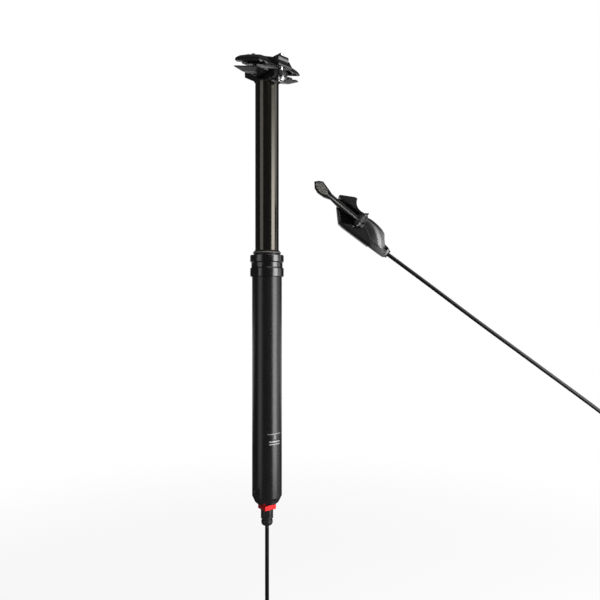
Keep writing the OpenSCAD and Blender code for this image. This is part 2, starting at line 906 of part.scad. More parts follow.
cavity = [[-36.3, 11.6], [-36.3, 15.8], [-22, 15.4], [-18.5, 10.2], [-33.5, 10.2]];
cover = [[-38.8, 11.5], [-38.8, 17.3], [-21, 16.9], [-15.4, 9.2], [-17, 7.6], [-32.5, 7.6]];
cover_screws_at = [[-37.6, 14], [-18.3, 8.8]];
body_outline = [
    [-40.4, 18.3], [-37, 19.3], [-31, 19.4], [-21, 18.4], [-16, 16.4], [-12.3, 10.7], [-9, 7.4],
    [-4, 6], [-4, 0], [nose_root, 0], [nose_root, -1], [-27, 3.3], [-40.7, 10.7]
];
bracket_outline = [
    [-79, 18.4], [-77, 19.8], [-64.2, 26.6], [-60.9, 26.8], [-43.2, 19.6], [-40.5, 18.2],
    [-40.8, 10.5], [-27.2, 3.1], [-22.3, -1.2], [-22.3, -6.5], [-56, -6.3], [-61.5, -5.6], [-74, 8]
];
block_outline = [[-100, 15], [-100, 35], [-41, 35], [-41, 15]];
saddle_outline = [
    [-79, 18.4], [-77, 19.8], [-64.2, 26.6], [-60.9, 26.8], bar_centre,
    bar_centre + [8.6, -8.6], [-42.6, 18.6], [-46, 17.6], [-58, 16.8]
];
pocket_outline = [
    [-92, 17.2], [-92, 6.2], [-72, 6.2], [pocket_wall - 71.2, 4.8], [pocket_wall - 63.2, -3.4],
    [-58, -3.4], [-47, 2.6], [-41, 3], [-40.7, 15.8], [-50, 16], [-60, 16.4]
];
well_outline = [[-60, -3.4], [-41, -3.4], [-41, 4], [-60, 4]];
well_top = 4.2;
cover_screw_r = 0.8;
cover_screw_len = 4.5;
screw_head_r = 1.4;
screw_head_h = 0.8;
screw_hex_r = 0.7;
bleed_hex_r = 1.2;
grub_hex_r = 0.9;
bladder_mid = [-28, 12.8];
bleed_at = [-15, 3.2];
bleed_head_r = 2.5;
bleed_head_h = 1.5;
bleed_tip = -master_r + 0.4;
grub_at = -31;
lower_ear_reach = 6.2;
upper_ear_reach = 4.4;

module at_layout() {
    rotate([90, 0, layout_turn])
        children();
}

module at_remote() {
    at_layout()
        translate([exit_u, exit_z, 0])
            rotate([0, 0, -exit_dip])
                children();
}

// Round bar along the remote's x axis
module along_hose(r, from, to) {
    translate([from, 0, 0])
        rotate([0, 90, 0])
            cylinder(r = r, h = to - from);
}

// Round bar along the remote's y axis at the lever pivot
module along_pivot(r, from, to) {
    translate([pivot_s, from, pivot_w])
        rotate([-90, 0, 0])
            cylinder(r = r, h = to - from);
}

// Slab between two depths of the remote
module slab(from, to) {
    translate([0, 0, from])
        linear_extrude(height = to - from)
            children();
}

// Chamfered section of the shell, seen along the hose
module shell_section() {
    rotate([90, 0, 90])
        linear_extrude(height = 200, center = true)
            polygon([
                [-7, back_w + 5], [-3.5, back_w], [17.6, back_w], [20, back_w + 3],
                [20, front_w - 4.5], [15.5, front_w], [-3.5, front_w], [-7, front_w - 5]
            ]);
}

module remote_body() {
    color([0.13, 0.13, 0.13])
        at_remote()
            difference() {
                union() {
                    along_hose(core_r, core_end, nose_root + 1);
                    along_hose(cylinder_r, nose_root, nose_end - 1);
                    along_hose(cylinder_r - 0.8, nose_root, nose_end);
                    intersection() {
                        slab(back_w, front_w)
                            polygon(body_outline);
                        shell_section();
                    }
                }
                along_hose(master_r, core_end - 30, bore_end);
                along_hose(port_r, bore_end - 1, 1);
                along_hose(nut_thread_r + seat_gap, -8, 1);
                slab(back_w - 1, front_w - 3)
                    polygon(cavity);
                slab(back_w - 1, back_w + cover_t)
                    polygon(cover);
                translate([bleed_at[0], bleed_at[1], back_w - 1]) {
                    cylinder(r = bleed_head_r + seat_gap, h = 1 + bleed_head_h + seat_gap);
                    cylinder(r = screw_r + seat_gap, h = 1 - back_w - master_r / 2);
                }
                for (at = cover_screws_at)
                    translate([at[0], at[1], back_w])
                        cylinder(r = cover_screw_r + seat_gap, h = 5);
            }
}

module reservoir_cover() {
    color([0.1, 0.1, 0.1])
        at_remote()
            difference() {
                slab(back_w, back_w + cover_t)
                    polygon(cover);
                for (at = cover_screws_at)
                    translate([at[0], at[1], back_w - 1])
                        cylinder(r = cover_screw_r + seat_gap, h = cover_t + 2);
            }
}

module cover_screws() {
    color([0.7, 0.7, 0.7])
        at_remote()
            for (at = cover_screws_at)
                translate([at[0], at[1], back_w])
                    difference() {
                        union() {
                            translate([0, 0, -screw_head_h])
                                cylinder(r = screw_head_r, h = screw_head_h);
                            translate([0, 0, -0.1])
                                cylinder(r = cover_screw_r, h = cover_screw_len);
                        }
                        translate([0, 0, -1])
                            cylinder(r = screw_hex_r, h = screw_head_h, $fn = 6);
                    }
}

module reservoir_bladder() {
    color([0.15, 0.15, 0.15])
        at_remote()
            slab(back_w + cover_t, front_w - 4)
                polygon([for (p = cavity) bladder_mid + 0.93 * (p - bladder_mid)]);
}

module bleed_screw() {
    color([0.7, 0.7, 0.7])
        at_remote()
            translate([bleed_at[0], bleed_at[1], back_w])
                difference() {
                    union() {
                        cylinder(r = bleed_head_r, h = bleed_head_h);
                        cylinder(r = screw_r, h = bleed_tip - back_w);
                    }
                    translate([0, 0, -1])
                        cylinder(r = bleed_hex_r, h = 2, $fn = 6);
                }
}

module hose_nut() {
    color([0.16, 0.16, 0.16])
        at_remote()
            difference() {
                union() {
                    along_hose(nut_r, nose_end, 0);
                    along_hose(nut_thread_r, -7.5, -1);
                }
                along_hose(port_r, -8, -2);
            }
}

module bar_bracket() {
    color([0.11, 0.11, 0.11])
        at_remote()
            difference() {
                union() {
                    intersection() {
                        slab(back_w, front_w)
                            polygon(bracket_outline);
                        union() {
                            shell_section();
                            slab(back_w, front_w)
                                polygon(block_outline);
                        }
                    }
                    slab(saddle_mid_w - saddle_w / 2, saddle_mid_w + saddle_w / 2)
                        polygon(saddle_outline);
                }
                translate([bar_centre[0], bar_centre[1], saddle_mid_w])
                    cylinder(r = bar_r + run_gap, h = 2 * saddle_w, center = true, $fn = 96);
                along_hose(core_r + seat_gap, core_end - 1.5, 0);
                slab(pocket_back, 3 * front_w)
                    polygon(pocket_outline);
                slab(pocket_back, well_top)
                    polygon(well_outline);
                translate([tap_at[0], tap_at[1], saddle_mid_w])
                    rotate([0, 0, tap_lean])
                        rotate([90, 0, 0])
                            translate([0, 0, -1])
                                cylinder(r = tap_r, h = tap_depth + 1);
                translate([grub_at, 0, back_w - 1])
                    cylinder(r = screw_r + seat_gap, h = -back_w);
                along_pivot(pivot_d / 2 + seat_gap, 0, ear_high + 1);
            }
    color([0.11, 0.11, 0.11])
        at_remote()
            pivot_ears();
}

// Two ears that hold the pivot pin below and above the lever hub
module pivot_ears() {
    pivot_ear(ear_low, hub_low - free_gap, lower_ear_reach, pivot_w - hub_r + 1);
    pivot_ear(hub_high + free_gap, ear_high, upper_ear_reach, pocket_back - 1);
}

module pivot_ear(low, high, reach, root_w) {
    difference() {
        union() {
            along_pivot(hub_r, low, high);
            translate([pivot_s, low, root_w])
                cube([reach, high - low, pivot_w - root_w]);
        }
        along_pivot(pivot_d / 2 + seat_gap, low - 1, high + 1);
    }
}

module bracket_bolt() {
    color([0.7, 0.7, 0.7])
        at_remote()
            translate([grub_at, 0, back_w + 0.5])
                difference() {
                    cylinder(r = screw_r, h = -core_r - back_w - 0.5 - seat_gap);
                    translate([0, 0, -1])
                        cylinder(r = grub_hex_r, h = 2, $fn = 6);
                }
}

module lever_pivot() {
    color([0.2, 0.2, 0.2])
        at_remote()
            along_pivot(pivot_d / 2, pivot_low, ear_high - 0.2);
}

module pivot_clip() {
    color([0.2, 0.2, 0.2])
        at_remote()
            difference() {
                along_pivot(clip_r, ear_low - clip_t - seat_gap, ear_low - seat_gap);
                along_pivot(pivot_d / 2 + seat_gap, 0, ear_low);
            }
}

arm_back = pivot_w - arm_w / 2;
arm_front = pivot_w + arm_w / 2;
arm_outline = [
    [pivot_s, hub_low], [pivot_s, 12], [-60, 12.6], [-77.5, 14], [-85.4, 14.4],
    [-94.6, 17.4], [-100.7, 19.3], [-104.8, 17.2], [-108.2, 13.8], [-103.9, 8.7], [-98.4, 6.4],
    [-90.2, 6.6], [-83.7, 8.8], [-74.5, 7.4], [-60, 7.6]
];
ridge_outline = [[-48, 8.8], [-84.9, 10], [-84.9, 11], [-48, 10]];
ridge_h = 1;
pad_outline = [
    [-88.6, 11.4], [-94.1, 15.6], [-100.3, 17.5], [-103.2, 16], [-105.8, 13.5],
    [-102.6, 9.8], [-97.7, 8.2], [-91.5, 8.6]
];
pad_sink = 0.6;
bump_r = 0.75;
bump_h = 0.5;
bump_root = 0.2;
bump_at = [-91.6, 10.5];
bump_step = [-2.1, 0.2];
bump_row = [-0.4, 2.1];
bump_rows = 3;
bumps_a_row = 6;

module lever_arm() {
    color([0.17, 0.17, 0.17])
        at_remote()
            difference() {
                union() {
                    along_pivot(hub_r, hub_low, hub_high);
                    slab(arm_back, arm_front)
                        polygon(arm_outline);
                    slab(arm_front - ridge_h, arm_front + ridge_h)
                        polygon(ridge_outline);
                    translate([finger_back, hub_low, finger_w])
                        cube([finger_face - finger_back, hub_high - hub_low, pivot_w - finger_w]);
                    translate([finger_back, finger_low, finger_w])
                        cube([finger_face - finger_back, hub_low - finger_low + 1,
                            pivot_w - hub_r - free_gap - finger_w]);
                }
                along_pivot(pivot_d / 2 + run_gap, 0, ear_high);
                slab(arm_front - pad_sink, arm_front + 5)
                    polygon(pad_outline);
            }
}

module lever_pad() {
    color([0.32, 0.32, 0.32])
        at_remote() {
            slab(arm_front - pad_sink, arm_front - pad_sink + pad_h)
                polygon(pad_outline);
            for (row = [0 : bump_rows - 1])
                for (k = [0 : bumps_a_row - 1])
                    translate(bump_at + k * bump_step + row * bump_row)
                        translate([0, 0, arm_front - pad_sink + pad_h - bump_root])
                            cylinder(r = bump_r, h = bump_h + bump_root, $fn = 16);
        }
}

module master_piston() {
    color([0.7, 0.7, 0.72])
        at_remote() {
            along_hose(plunger_r, plunger_tip, plunger_head + 1);
            along_hose(master_r - run_gap, plunger_head, plunger_end);
        }
}

module piston_cup() {
    color([0.1, 0.1, 0.1])
        at_remote()
            along_hose(master_r - run_gap, plunger_end, plunger_end + cup_t);
}

// Valve pieces inside the fixed column
module slave_piston() {
    color([0.7, 0.7, 0.72])
        translate([0, 0, slave_bottom])
            cylinder(r = bore_r - run_gap, h = slave_h);
}

module push_rod() {
    color([0.75, 0.75, 0.76])
        translate([0, 0, slave_bottom + slave_h])
            cylinder(r = rod_r, h = poppet_bottom - slave_bottom - slave_h);
}

module valve_poppet() {
    color([0.72, 0.6, 0.3])
        translate([0, 0, poppet_bottom])
            cylinder(r = poppet_r, h = poppet_h);
}

// One smooth curve through hand-chosen points, with a straight start and end
function spline(a, b, c, d, t) =
    0.5 * (2 * b + (c - a) * t + (2 * a - 5 * b + 4 * c - d) * t * t
        + (3 * b - a - 3 * c + d) * t * t * t);

function curve(p, step) = [
    for (i = [0 : len(p) - 2])
        let (
            before = i == 0 ? 2 * p[0] - p[1] : p[i - 1],
            after = i == len(p) - 2 ? 2 * p[i + 1] - p[i] : p[i + 2],
            cuts = max(1, round(norm(p[i + 1] - p[i]) / step))
        )
        for (k = [0 : i == len(p) - 2 ? cuts : cuts - 1])
            spline(before, p[i], p[i + 1], after, k / cuts)
];

function unit(v) = v / norm(v);

function heading(p, i) = unit(p[min(i + 1, len(p) - 1)] - p[max(i - 1, 0)]);

function path_length(p, i = 0) = i >= len(p) - 1 ? 0 : norm(p[i + 1] - p[i]) + path_length(p, i + 1);

// Closed tube of triangles along a path
module tube_along(p, r, sides, reference) {
    n = len(p);
    points = [
        for (i = [0 : n - 1])
            let (
                t = heading(p, i),
                a = unit(cross(t, reference)),
                b = cross(a, t)
            )
            for (k = [0 : sides - 1])
                p[i] + r * (cos(360 * k / sides) * a + sin(360 * k / sides) * b)
    ];
    walls = [
        for (i = [0 : n - 2])
            for (k = [0 : sides - 1])
                let (
                    m = (k + 1) % sides,
                    q = i * sides
                )
                for (face = [[q + k, q + sides + k, q + m], [q + m, q + sides + k, q + sides + m]])
                    face
    ];
    ends = [
        for (k = [1 : sides - 2])
            for (face = [[0, k, k + 1], [(n - 1) * sides, (n - 1) * sides + k + 1, (n - 1) * sides + k]])
                face
    ];
    polyhedron(points = points, faces = concat(walls, ends));
}

// Hose route in the layout plane: right, up and towards the viewer
hose_r = hose_d / 2;
hose_step = 13;
viewer = [0, 0, 1];
coil_turns = coil_loops + 0.25;
coil_pitch = hose_d + 0.6;
coil_outer = coil_bend + coil_pitch * coil_turns / 2;
coil_centre = [coil_outer, -406];
coil_rings = 24;
coil_layer = coil_pitch / 2;
post_route = [
    [0, boot_bottom, 0], [0, -290, 0], [0, -330, 0], [0, -370, -2],
    [0, coil_centre[1] + 2 * hose_d, -coil_layer], [0, coil_centre[1] + hose_d, -coil_layer]
];
remote_route = [
    [coil_centre[0] + hose_d, coil_centre[1] - coil_outer, coil_layer],
    [coil_centre[0] + 2 * hose_d, coil_centre[1] - coil_outer, coil_layer],
    [100, -440, 2], [150, -438, 1], [205, -431, 0], [258, -418, 0], [305, -397, 0],
    [345, -367, 0], [374, -329, 0], [391, -285, 0], [398, -250, 0], [398, -227, 0],
    [396, -204, 0], [388, -182, 0], [375, -162, 0], [358, -146, 0], [289, -95, 0],
    [225, -48, 0], [177, -12, 0], [141, 14.8, 0],
    [exit_u, exit_z, 0]
];

// The coil spirals in on the far layer and out again on the near one
function coil_point(n) =
    let (
        turn = 180 + 360 * n,
        half = coil_turns / 2,
        r = coil_outer - coil_pitch * (half - abs(n - half)),
        climb = min(1, max(-1, (n - half) * 4))
    )
    [coil_centre[0] + r * cos(turn), coil_centre[1] + r * sin(turn), coil_layer * sin(90 * climb)];

coil_path = concat(
    [[0, coil_centre[1] + hose_d, -coil_layer]],
    [for (i = [0 : coil_turns * coil_rings]) coil_point(i / coil_rings)],
    [[coil_centre[0] + hose_d, coil_centre[1] - coil_outer, coil_layer]]
);
post_path = curve(post_route, hose_step);
remote_path = curve(remote_route, hose_step);

// Least gap between points of the coil that lie more than half a loop apart along it
coil_gap = min([
    for (i = [0 : len(coil_path) - 1])
        for (k = [i + coil_rings / 2 : 1 : len(coil_path) - 1])
            norm(coil_path[i] - coil_path[k])
]) - hose_d;
echo(coil_gap = coil_gap);
echo(hose_length = path_length(post_path) + path_length(coil_path) + path_length(remote_path));

module hose_post() {
    color([0.07, 0.07, 0.07])
        at_layout()
            tube_along(post_path, hose_r, 8, viewer);
}

module hose_coil() {
    color([0.07, 0.07, 0.07])
        at_layout()
            tube_along(coil_path, hose_r, 6, viewer);
}

module hose_remote() {
    color([0.07, 0.07, 0.07])
        at_layout()
            tube_along(remote_path, hose_r, 8, viewer);
}

module coil_tie() {
    tie_t = 1.2;
    tie_w = 6;
    low = coil_bend - hose_r - free_gap;
    high = coil_outer + hose_r + free_gap;
    deep = coil_layer + hose_r + free_gap;
    color([0.1, 0.1, 0.1])
        at_layout()
            translate([coil_centre[0], coil_centre[1] + (low + high) / 2, 0])
                difference() {
                    cube([tie_w, high - low + 2 * tie_t, 2 * deep + 2 * tie_t], center = true);
                    cube([2 * tie_w, high - low, 2 * deep], center = true);
                }
}

// Wire spring of one unbroken helix along z, with straight ends along the helix's start
function helix(r, height, curls) = [
    for (i = [0 : curls * 8])
        [r * cos(45 * i), r * sin(45 * i), height * i / (curls * 8)]
];

wire_r = 0.4;
spring_curls = 6;
up = [0, 0, 1];

module valve_spring() {
    from = poppet_bottom + poppet_h + wire_r + seat_gap;
    to = cage_top - cage_wall - wire_r - seat_gap;
    color([0.7, 0.7, 0.7])
        translate([0, 0, from])
            tube_along(helix(poppet_r - 2 * wire_r, to - from, spring_curls), wire_r, 6, up);
}

module return_spring() {
    from = plunger_end + cup_t + wire_r + seat_gap;
    to = bore_end - wire_r - seat_gap;
    color([0.7, 0.7, 0.7])
        at_remote()
            translate([from, 0, 0])
                rotate([0, 90, 0])
                    tube_along(helix(master_r - 2 * wire_r, to - from, spring_curls), wire_r, 6, up);
}

outer_tube();
seal_collar();
wiper_seal();
upper_bushing();
top_stop();
end_cap();
end_cap_oring();
drop_bumper();
inner_shaft();
main_piston();
piston_oring();
valve_cage();
valve_spring();
connector_nut();
hose_connector();
hose_boot();
hose_post();
hose_coil();
hose_remote();
coil_tie();
stanchion();
post_head();
lower_bushing();
guide_keys();
seal_head();
shaft_oring();
air_valve();
valve_cap();
clamp_bolts();
floating_piston();
floater_oring();
lower_clamp();
upper_clamp();
front_nut();
rear_nut();
slave_piston();
push_rod();
valve_poppet();
remote_body();
bar_bracket();
bracket_bolt();
lever_pivot();
pivot_clip();
reservoir_bladder();
reservoir_cover();
cover_screws();
bleed_screw();
hose_nut();
lever_arm();
lever_pad();
master_piston();
piston_cup();
return_spring();
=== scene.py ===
"""Dropper seatpost: looks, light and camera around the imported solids, in metres."""

import json

import bmesh
import bpy
import numpy as np
from mathutils import Matrix, Vector


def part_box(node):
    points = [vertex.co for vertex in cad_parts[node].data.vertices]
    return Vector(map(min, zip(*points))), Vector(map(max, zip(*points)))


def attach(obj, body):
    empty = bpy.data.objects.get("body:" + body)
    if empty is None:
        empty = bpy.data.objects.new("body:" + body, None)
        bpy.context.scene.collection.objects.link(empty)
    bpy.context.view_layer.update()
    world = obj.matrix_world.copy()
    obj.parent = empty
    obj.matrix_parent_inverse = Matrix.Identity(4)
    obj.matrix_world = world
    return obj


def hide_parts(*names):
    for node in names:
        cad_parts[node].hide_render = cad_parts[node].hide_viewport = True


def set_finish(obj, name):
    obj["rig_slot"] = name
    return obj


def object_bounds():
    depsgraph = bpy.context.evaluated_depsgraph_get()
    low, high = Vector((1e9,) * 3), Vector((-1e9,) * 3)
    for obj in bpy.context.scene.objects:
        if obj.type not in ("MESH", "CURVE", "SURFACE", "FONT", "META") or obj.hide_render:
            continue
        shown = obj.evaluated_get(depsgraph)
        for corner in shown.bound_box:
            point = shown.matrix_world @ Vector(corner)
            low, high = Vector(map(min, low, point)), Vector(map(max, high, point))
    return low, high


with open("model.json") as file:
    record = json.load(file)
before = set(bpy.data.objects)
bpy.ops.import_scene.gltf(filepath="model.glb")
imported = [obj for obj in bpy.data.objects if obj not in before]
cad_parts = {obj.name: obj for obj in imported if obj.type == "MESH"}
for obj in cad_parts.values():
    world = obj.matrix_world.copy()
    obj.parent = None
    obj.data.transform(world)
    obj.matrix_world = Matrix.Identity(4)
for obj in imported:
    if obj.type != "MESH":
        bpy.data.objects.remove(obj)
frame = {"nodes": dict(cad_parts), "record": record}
nodes = frame["nodes"]
cad_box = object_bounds()

BODY_OF = {node: body for body, members in frame["record"]["behaviour"]["bodies"].items()
           for node in members}
SLOT_OF = {entry["node"]: entry["material_slot"] for entry in frame["record"]["subparts"]}

# The hose and the remote lie in an upright plane, turned from the bicycle's forward direction:
# RIGHT lies along it, UP is the post's axis and NEAR points out of it, towards the camera.
MM = 0.001
TURN = np.radians(45)
RIGHT = np.array([np.cos(TURN), np.sin(TURN), 0])
UP = np.array([0, 0, 1.0])
NEAR = np.array([np.sin(TURN), -np.cos(TURN), 0])
LAYOUT = np.array([RIGHT, UP, NEAR])


def in_layout(points):
    """Millimetres right, up and near, as metres in the model's frame."""
    return MM * np.asarray(points, dtype=float) @ LAYOUT


def linked(name, data):
    """New object in the scene, at the origin."""
    made = bpy.data.objects.new(name, data)
    bpy.context.collection.objects.link(made)
    return made


def mesh_object(name, points, faces):
    """Smooth object at the origin from an array of points and a list of faces."""
    mesh = bpy.data.meshes.new(name)
    mesh.from_pydata(np.reshape(points, (-1, 3)).tolist(), [], faces)
    mesh.shade_smooth()
    return linked(name, mesh)


def grid_faces(rows, columns, loop_rows=False, loop_columns=False):
    """Quads of a grid of points, row by row; a looped direction joins its last line to its first."""
    i, j = np.meshgrid(
        np.arange(rows if loop_rows else rows - 1),
        np.arange(columns if loop_columns else columns - 1), indexing="ij")
    i, j = i.ravel(), j.ravel()
    k, m = (i + 1) % rows, (j + 1) % columns
    return np.stack([i * columns + j, i * columns + m, k * columns + m, k * columns + j], 1).tolist()


def stand_in(piece, node):
    """The piece takes the place of a node, rides on its body and has its material slot."""
    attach(piece, BODY_OF[node])
    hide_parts(node)
    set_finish(piece, SLOT_OF[node])
    return piece


# Camera: level, facing the layout plane
EYE = in_layout([35.1, -24.5, 600])
LENS_MM = 33.84
SENSOR_MM = 36
CLIP_START = 0.01

camera = linked("camera", bpy.data.cameras.new("camera"))
camera.data.lens = LENS_MM
camera.data.sensor_width = SENSOR_MM
camera.data.clip_start = CLIP_START
camera.matrix_world = Matrix(np.column_stack([RIGHT, UP, NEAR]).tolist()).to_4x4()
camera.location = EYE
bpy.context.scene.camera = camera

# Hose, in millimetres in the layout plane, by the same points as the solids
HOSE_D = 4.2
HOSE_SIDES = 20
HOSE_STEP = 3
COIL_TURNS = 6.25
COIL_CUTS = 48
COIL_PITCH = HOSE_D + 0.6
COIL_INNER = 17.5
COIL_OUTER = COIL_INNER + COIL_PITCH * COIL_TURNS / 2
COIL_CENTRE = (COIL_OUTER, -406)
COIL_LAYER = COIL_PITCH / 2
LAYER_CHANGE = 0.25
BOOT_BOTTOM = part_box("hose_boot")[0][2] / MM
POST_ROUTE = [
    (0, BOOT_BOTTOM, 0), (0, -290, 0), (0, -330, 0), (0, -370, -2),
    (0, COIL_CENTRE[1] + 2 * HOSE_D, -COIL_LAYER), (0, COIL_CENTRE[1] + HOSE_D, -COIL_LAYER)]
REMOTE_ROUTE = [
    (COIL_CENTRE[0] + HOSE_D, COIL_CENTRE[1] - COIL_OUTER, COIL_LAYER),
    (COIL_CENTRE[0] + 2 * HOSE_D, COIL_CENTRE[1] - COIL_OUTER, COIL_LAYER),
    (100, -440, 2), (150, -438, 1), (205, -431, 0), (258, -418, 0), (305, -397, 0),
    (345, -367, 0), (374, -329, 0), (391, -285, 0), (398, -250, 0), (398, -227, 0),
    (396, -204, 0), (388, -182, 0), (375, -162, 0), (358, -146, 0), (289, -95, 0),
    (225, -48, 0), (177, -12, 0), (141, 14.8, 0), (128.7, 23.9, 0)]


def smooth_route(points):
    """Cubic through the points: each span takes its end slopes from the points on both sides."""
    p = np.array(points, dtype=float)
    p = np.vstack([2 * p[0] - p[1], p, 2 * p[-1] - p[-2]])
    spans = []
    for a, b, c, d in zip(p[:-3], p[1:-2], p[2:-1], p[3:]):
        cuts = max(1, round(np.linalg.norm(c - b) / HOSE_STEP))
        t = np.arange(cuts)[:, None] / cuts
        spans.append(0.5 * (2 * b + (c - a) * t + (2 * a - 5 * b + 4 * c - d) * t**2
                            + (3 * b - a - 3 * c + d) * t**3))
    return np.vstack(spans + [p[-2:-1]])


def coil_route():
    """Spiral in on the far layer and out on the near one: the radius is least at half the turns,
    and the layer changes by a sine over LAYER_CHANGE of a turn before and after it."""
    n = np.linspace(0, COIL_TURNS, int(COIL_TURNS * COIL_CUTS) + 1)
    half = COIL_TURNS / 2
    r = COIL_OUTER - COIL_PITCH * (half - np.abs(n - half))
    turn = np.pi * (1 + 2 * n)
    layer = COIL_LAYER * np.sin(np.pi / 2 * np.clip((n - half) / LAYER_CHANGE, -1, 1))
    return np.column_stack(
        [COIL_CENTRE[0] + r * np.cos(turn), COIL_CENTRE[1] + r * np.sin(turn), layer])


def tube(name, path, radius, sides, reference):
    """Round closed tube: at each path point p with heading t, p + r (cos k a + sin k b), where
    a = t x reference and b = a x t, both of unit length."""
    heading = np.gradient(path, axis=0)
    heading /= np.linalg.norm(heading, axis=1, keepdims=True)
    a = np.cross(heading, reference)
    a /= np.linalg.norm(a, axis=1, keepdims=True)
    b = np.cross(a, heading)
    k = np.linspace(0, 2 * np.pi, sides, endpoint=False)
    ring = np.cos(k)[None, :, None] * a[:, None] + np.sin(k)[None, :, None] * b[:, None]
    points = path[:, None] + radius * ring
    faces = grid_faces(len(path), sides, loop_columns=True)
    last = (len(path) - 1) * sides
    faces += [list(range(sides))[::-1], list(range(last, last + sides))]
    return mesh_object(name, points, faces)


hose_path = in_layout(np.vstack([smooth_route(POST_ROUTE), coil_route(), smooth_route(REMOTE_ROUTE)]))
hose = tube("hose", hose_path, HOSE_D / 2 * MM, HOSE_SIDES, NEAR)

# Tie round the coil, in millimetres
TIE_BOX = np.array(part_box("coil_tie")) / MM
TIE_MIDDLE = [COIL_CENTRE[0], TIE_BOX[:, 2].mean(), 0]
TIE_THICK = 1.2
TIE_HALF_WIDE = 3
TIE_HALF_DEEP = COIL_LAYER + HOSE_D / 2 + 0.35
TIE_HALF_HIGH = np.ptp(TIE_BOX[:, 2]) / 2 - TIE_THICK
TIE_CORNER = 2.5
TIE_CUTS = 72
TIE_ROWS = 9
TIE_EDGE_POWER = 8


def strap(name):
    """Band round the coil: a rounded rectangle in the up and near plane, carried across its width
    with a thickness that thins at both edges, and a closed inner and outer skin."""
    k = np.linspace(0, 2 * np.pi, TIE_CUTS, endpoint=False)
    arc = np.stack([np.cos(k), np.sin(k)], 1)
    core = np.sign(arc) * (np.array([TIE_HALF_HIGH, TIE_HALF_DEEP]) - TIE_CORNER)
    v = np.linspace(-1, 1, TIE_ROWS)
    swell = TIE_THICK * np.sqrt(np.clip(1 - v**TIE_EDGE_POWER, 0, 1))
    rows = []
    for across, skin in ((v, swell), (v[::-1], 0 * v)):
        loop = core[None] + (TIE_CORNER + skin)[:, None, None] * arc[None]
        side = np.broadcast_to((across * TIE_HALF_WIDE)[:, None, None], loop.shape[:2] + (1,))
        rows.append(np.concatenate([side, loop], 2))
    points = np.concatenate(rows) + TIE_MIDDLE
    return mesh_object(name, in_layout(points), grid_faces(*points.shape[:2], True, True))


tie = strap("tie")

for piece, stands_for in ((hose, ["hose_post", "hose_coil", "hose_remote"]), (tie, ["coil_tie"])):
    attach(piece, "lower_post")
    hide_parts(*stands_for)
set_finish(hose, "hose_black")
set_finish(tie, "tie_black")

# Forged and moulded pieces: each takes the place of its solid, with worn edges
WELD = 0.00001
FORGED_GRID = 0.0004
CAST_GRID = 0.00035
LEVER_GRID = 0.00025


def worn(name, node, grid, rounds, shape=None):
    """Solid with its edges worn round: its merged mesh is rebuilt on a grid of this size in metres
    and smoothed so many times. shape moves all its points at once, as an array."""
    merged = bmesh.new()
    merged.from_mesh(nodes[node].data)
    bmesh.ops.remove_doubles(merged, verts=merged.verts, dist=WELD)
    sharp = bpy.data.meshes.new(name)
    merged.to_mesh(sharp)
    merged.free()
    blank = linked(name, sharp)
    rebuilt = blank.modifiers.new("grid", "REMESH")
    rebuilt.mode = "VOXEL"
    rebuilt.voxel_size = grid
    soft = blank.modifiers.new("soft", "SMOOTH")
    soft.iterations = rounds
    mesh = bpy.data.meshes.new_from_object(
        blank.evaluated_get(bpy.context.evaluated_depsgraph_get()))
    bpy.data.objects.remove(blank)
    bpy.data.meshes.remove(sharp)
    if shape:
        points = np.empty((len(mesh.vertices), 3), dtype=np.float32)
        mesh.vertices.foreach_get("co", points.ravel())
        mesh.vertices.foreach_set("co", shape(points).astype(np.float32).ravel())
    mesh.shade_smooth()
    return stand_in(linked(name, mesh), node)


# The remote's own frame: along the hose's exit, across it and towards the viewer, from its exit face
DIP = np.radians(36.6)
REMOTE_AT = np.array([128.7, 23.9, 0])
REMOTE_AXES = np.array([[np.cos(DIP), -np.sin(DIP), 0], [np.sin(DIP), np.cos(DIP), 0], [0, 0, 1]])


def in_remote(points):
    """Points in metres as millimetres along, across and towards the viewer in the remote's frame."""
    return (points / MM @ LAYOUT.T - REMOTE_AT) @ REMOTE_AXES.T


def out_of_remote(local):
    """The reverse of in_remote."""
    return MM * (local @ REMOTE_AXES + REMOTE_AT) @ LAYOUT


def soft_plus(x, radius):
    """x where it is well above 0, 0 well below, and a smooth bend of this radius between."""
    return (x + np.sqrt(x * x + radius * radius)) / 2


# Reservoir: a facet falls away beyond an arc on its face, then a steep flank down to its outline
FACET_CENTRE = np.array([-37.8, -15.5])
FACET_R = 28
FACET_W = 4.2
FACET_START = -36
FACET_RUN = 17
FACET_LEAST = 0.4
FACET_SLOPE = np.tan(np.radians(28))
FACET_BEND = 1.6
FLANK_SLOPE = np.tan(np.radians(55))
FLANK_BEND = 0.5
FACE_W = 7.5
KEPT_W = -5
BARREL_R = 6.4
BARREL_BLEND = 1.5
NOSE_START = -11
NOSE_END = -1.4
NOSE_TAPER = 0.1


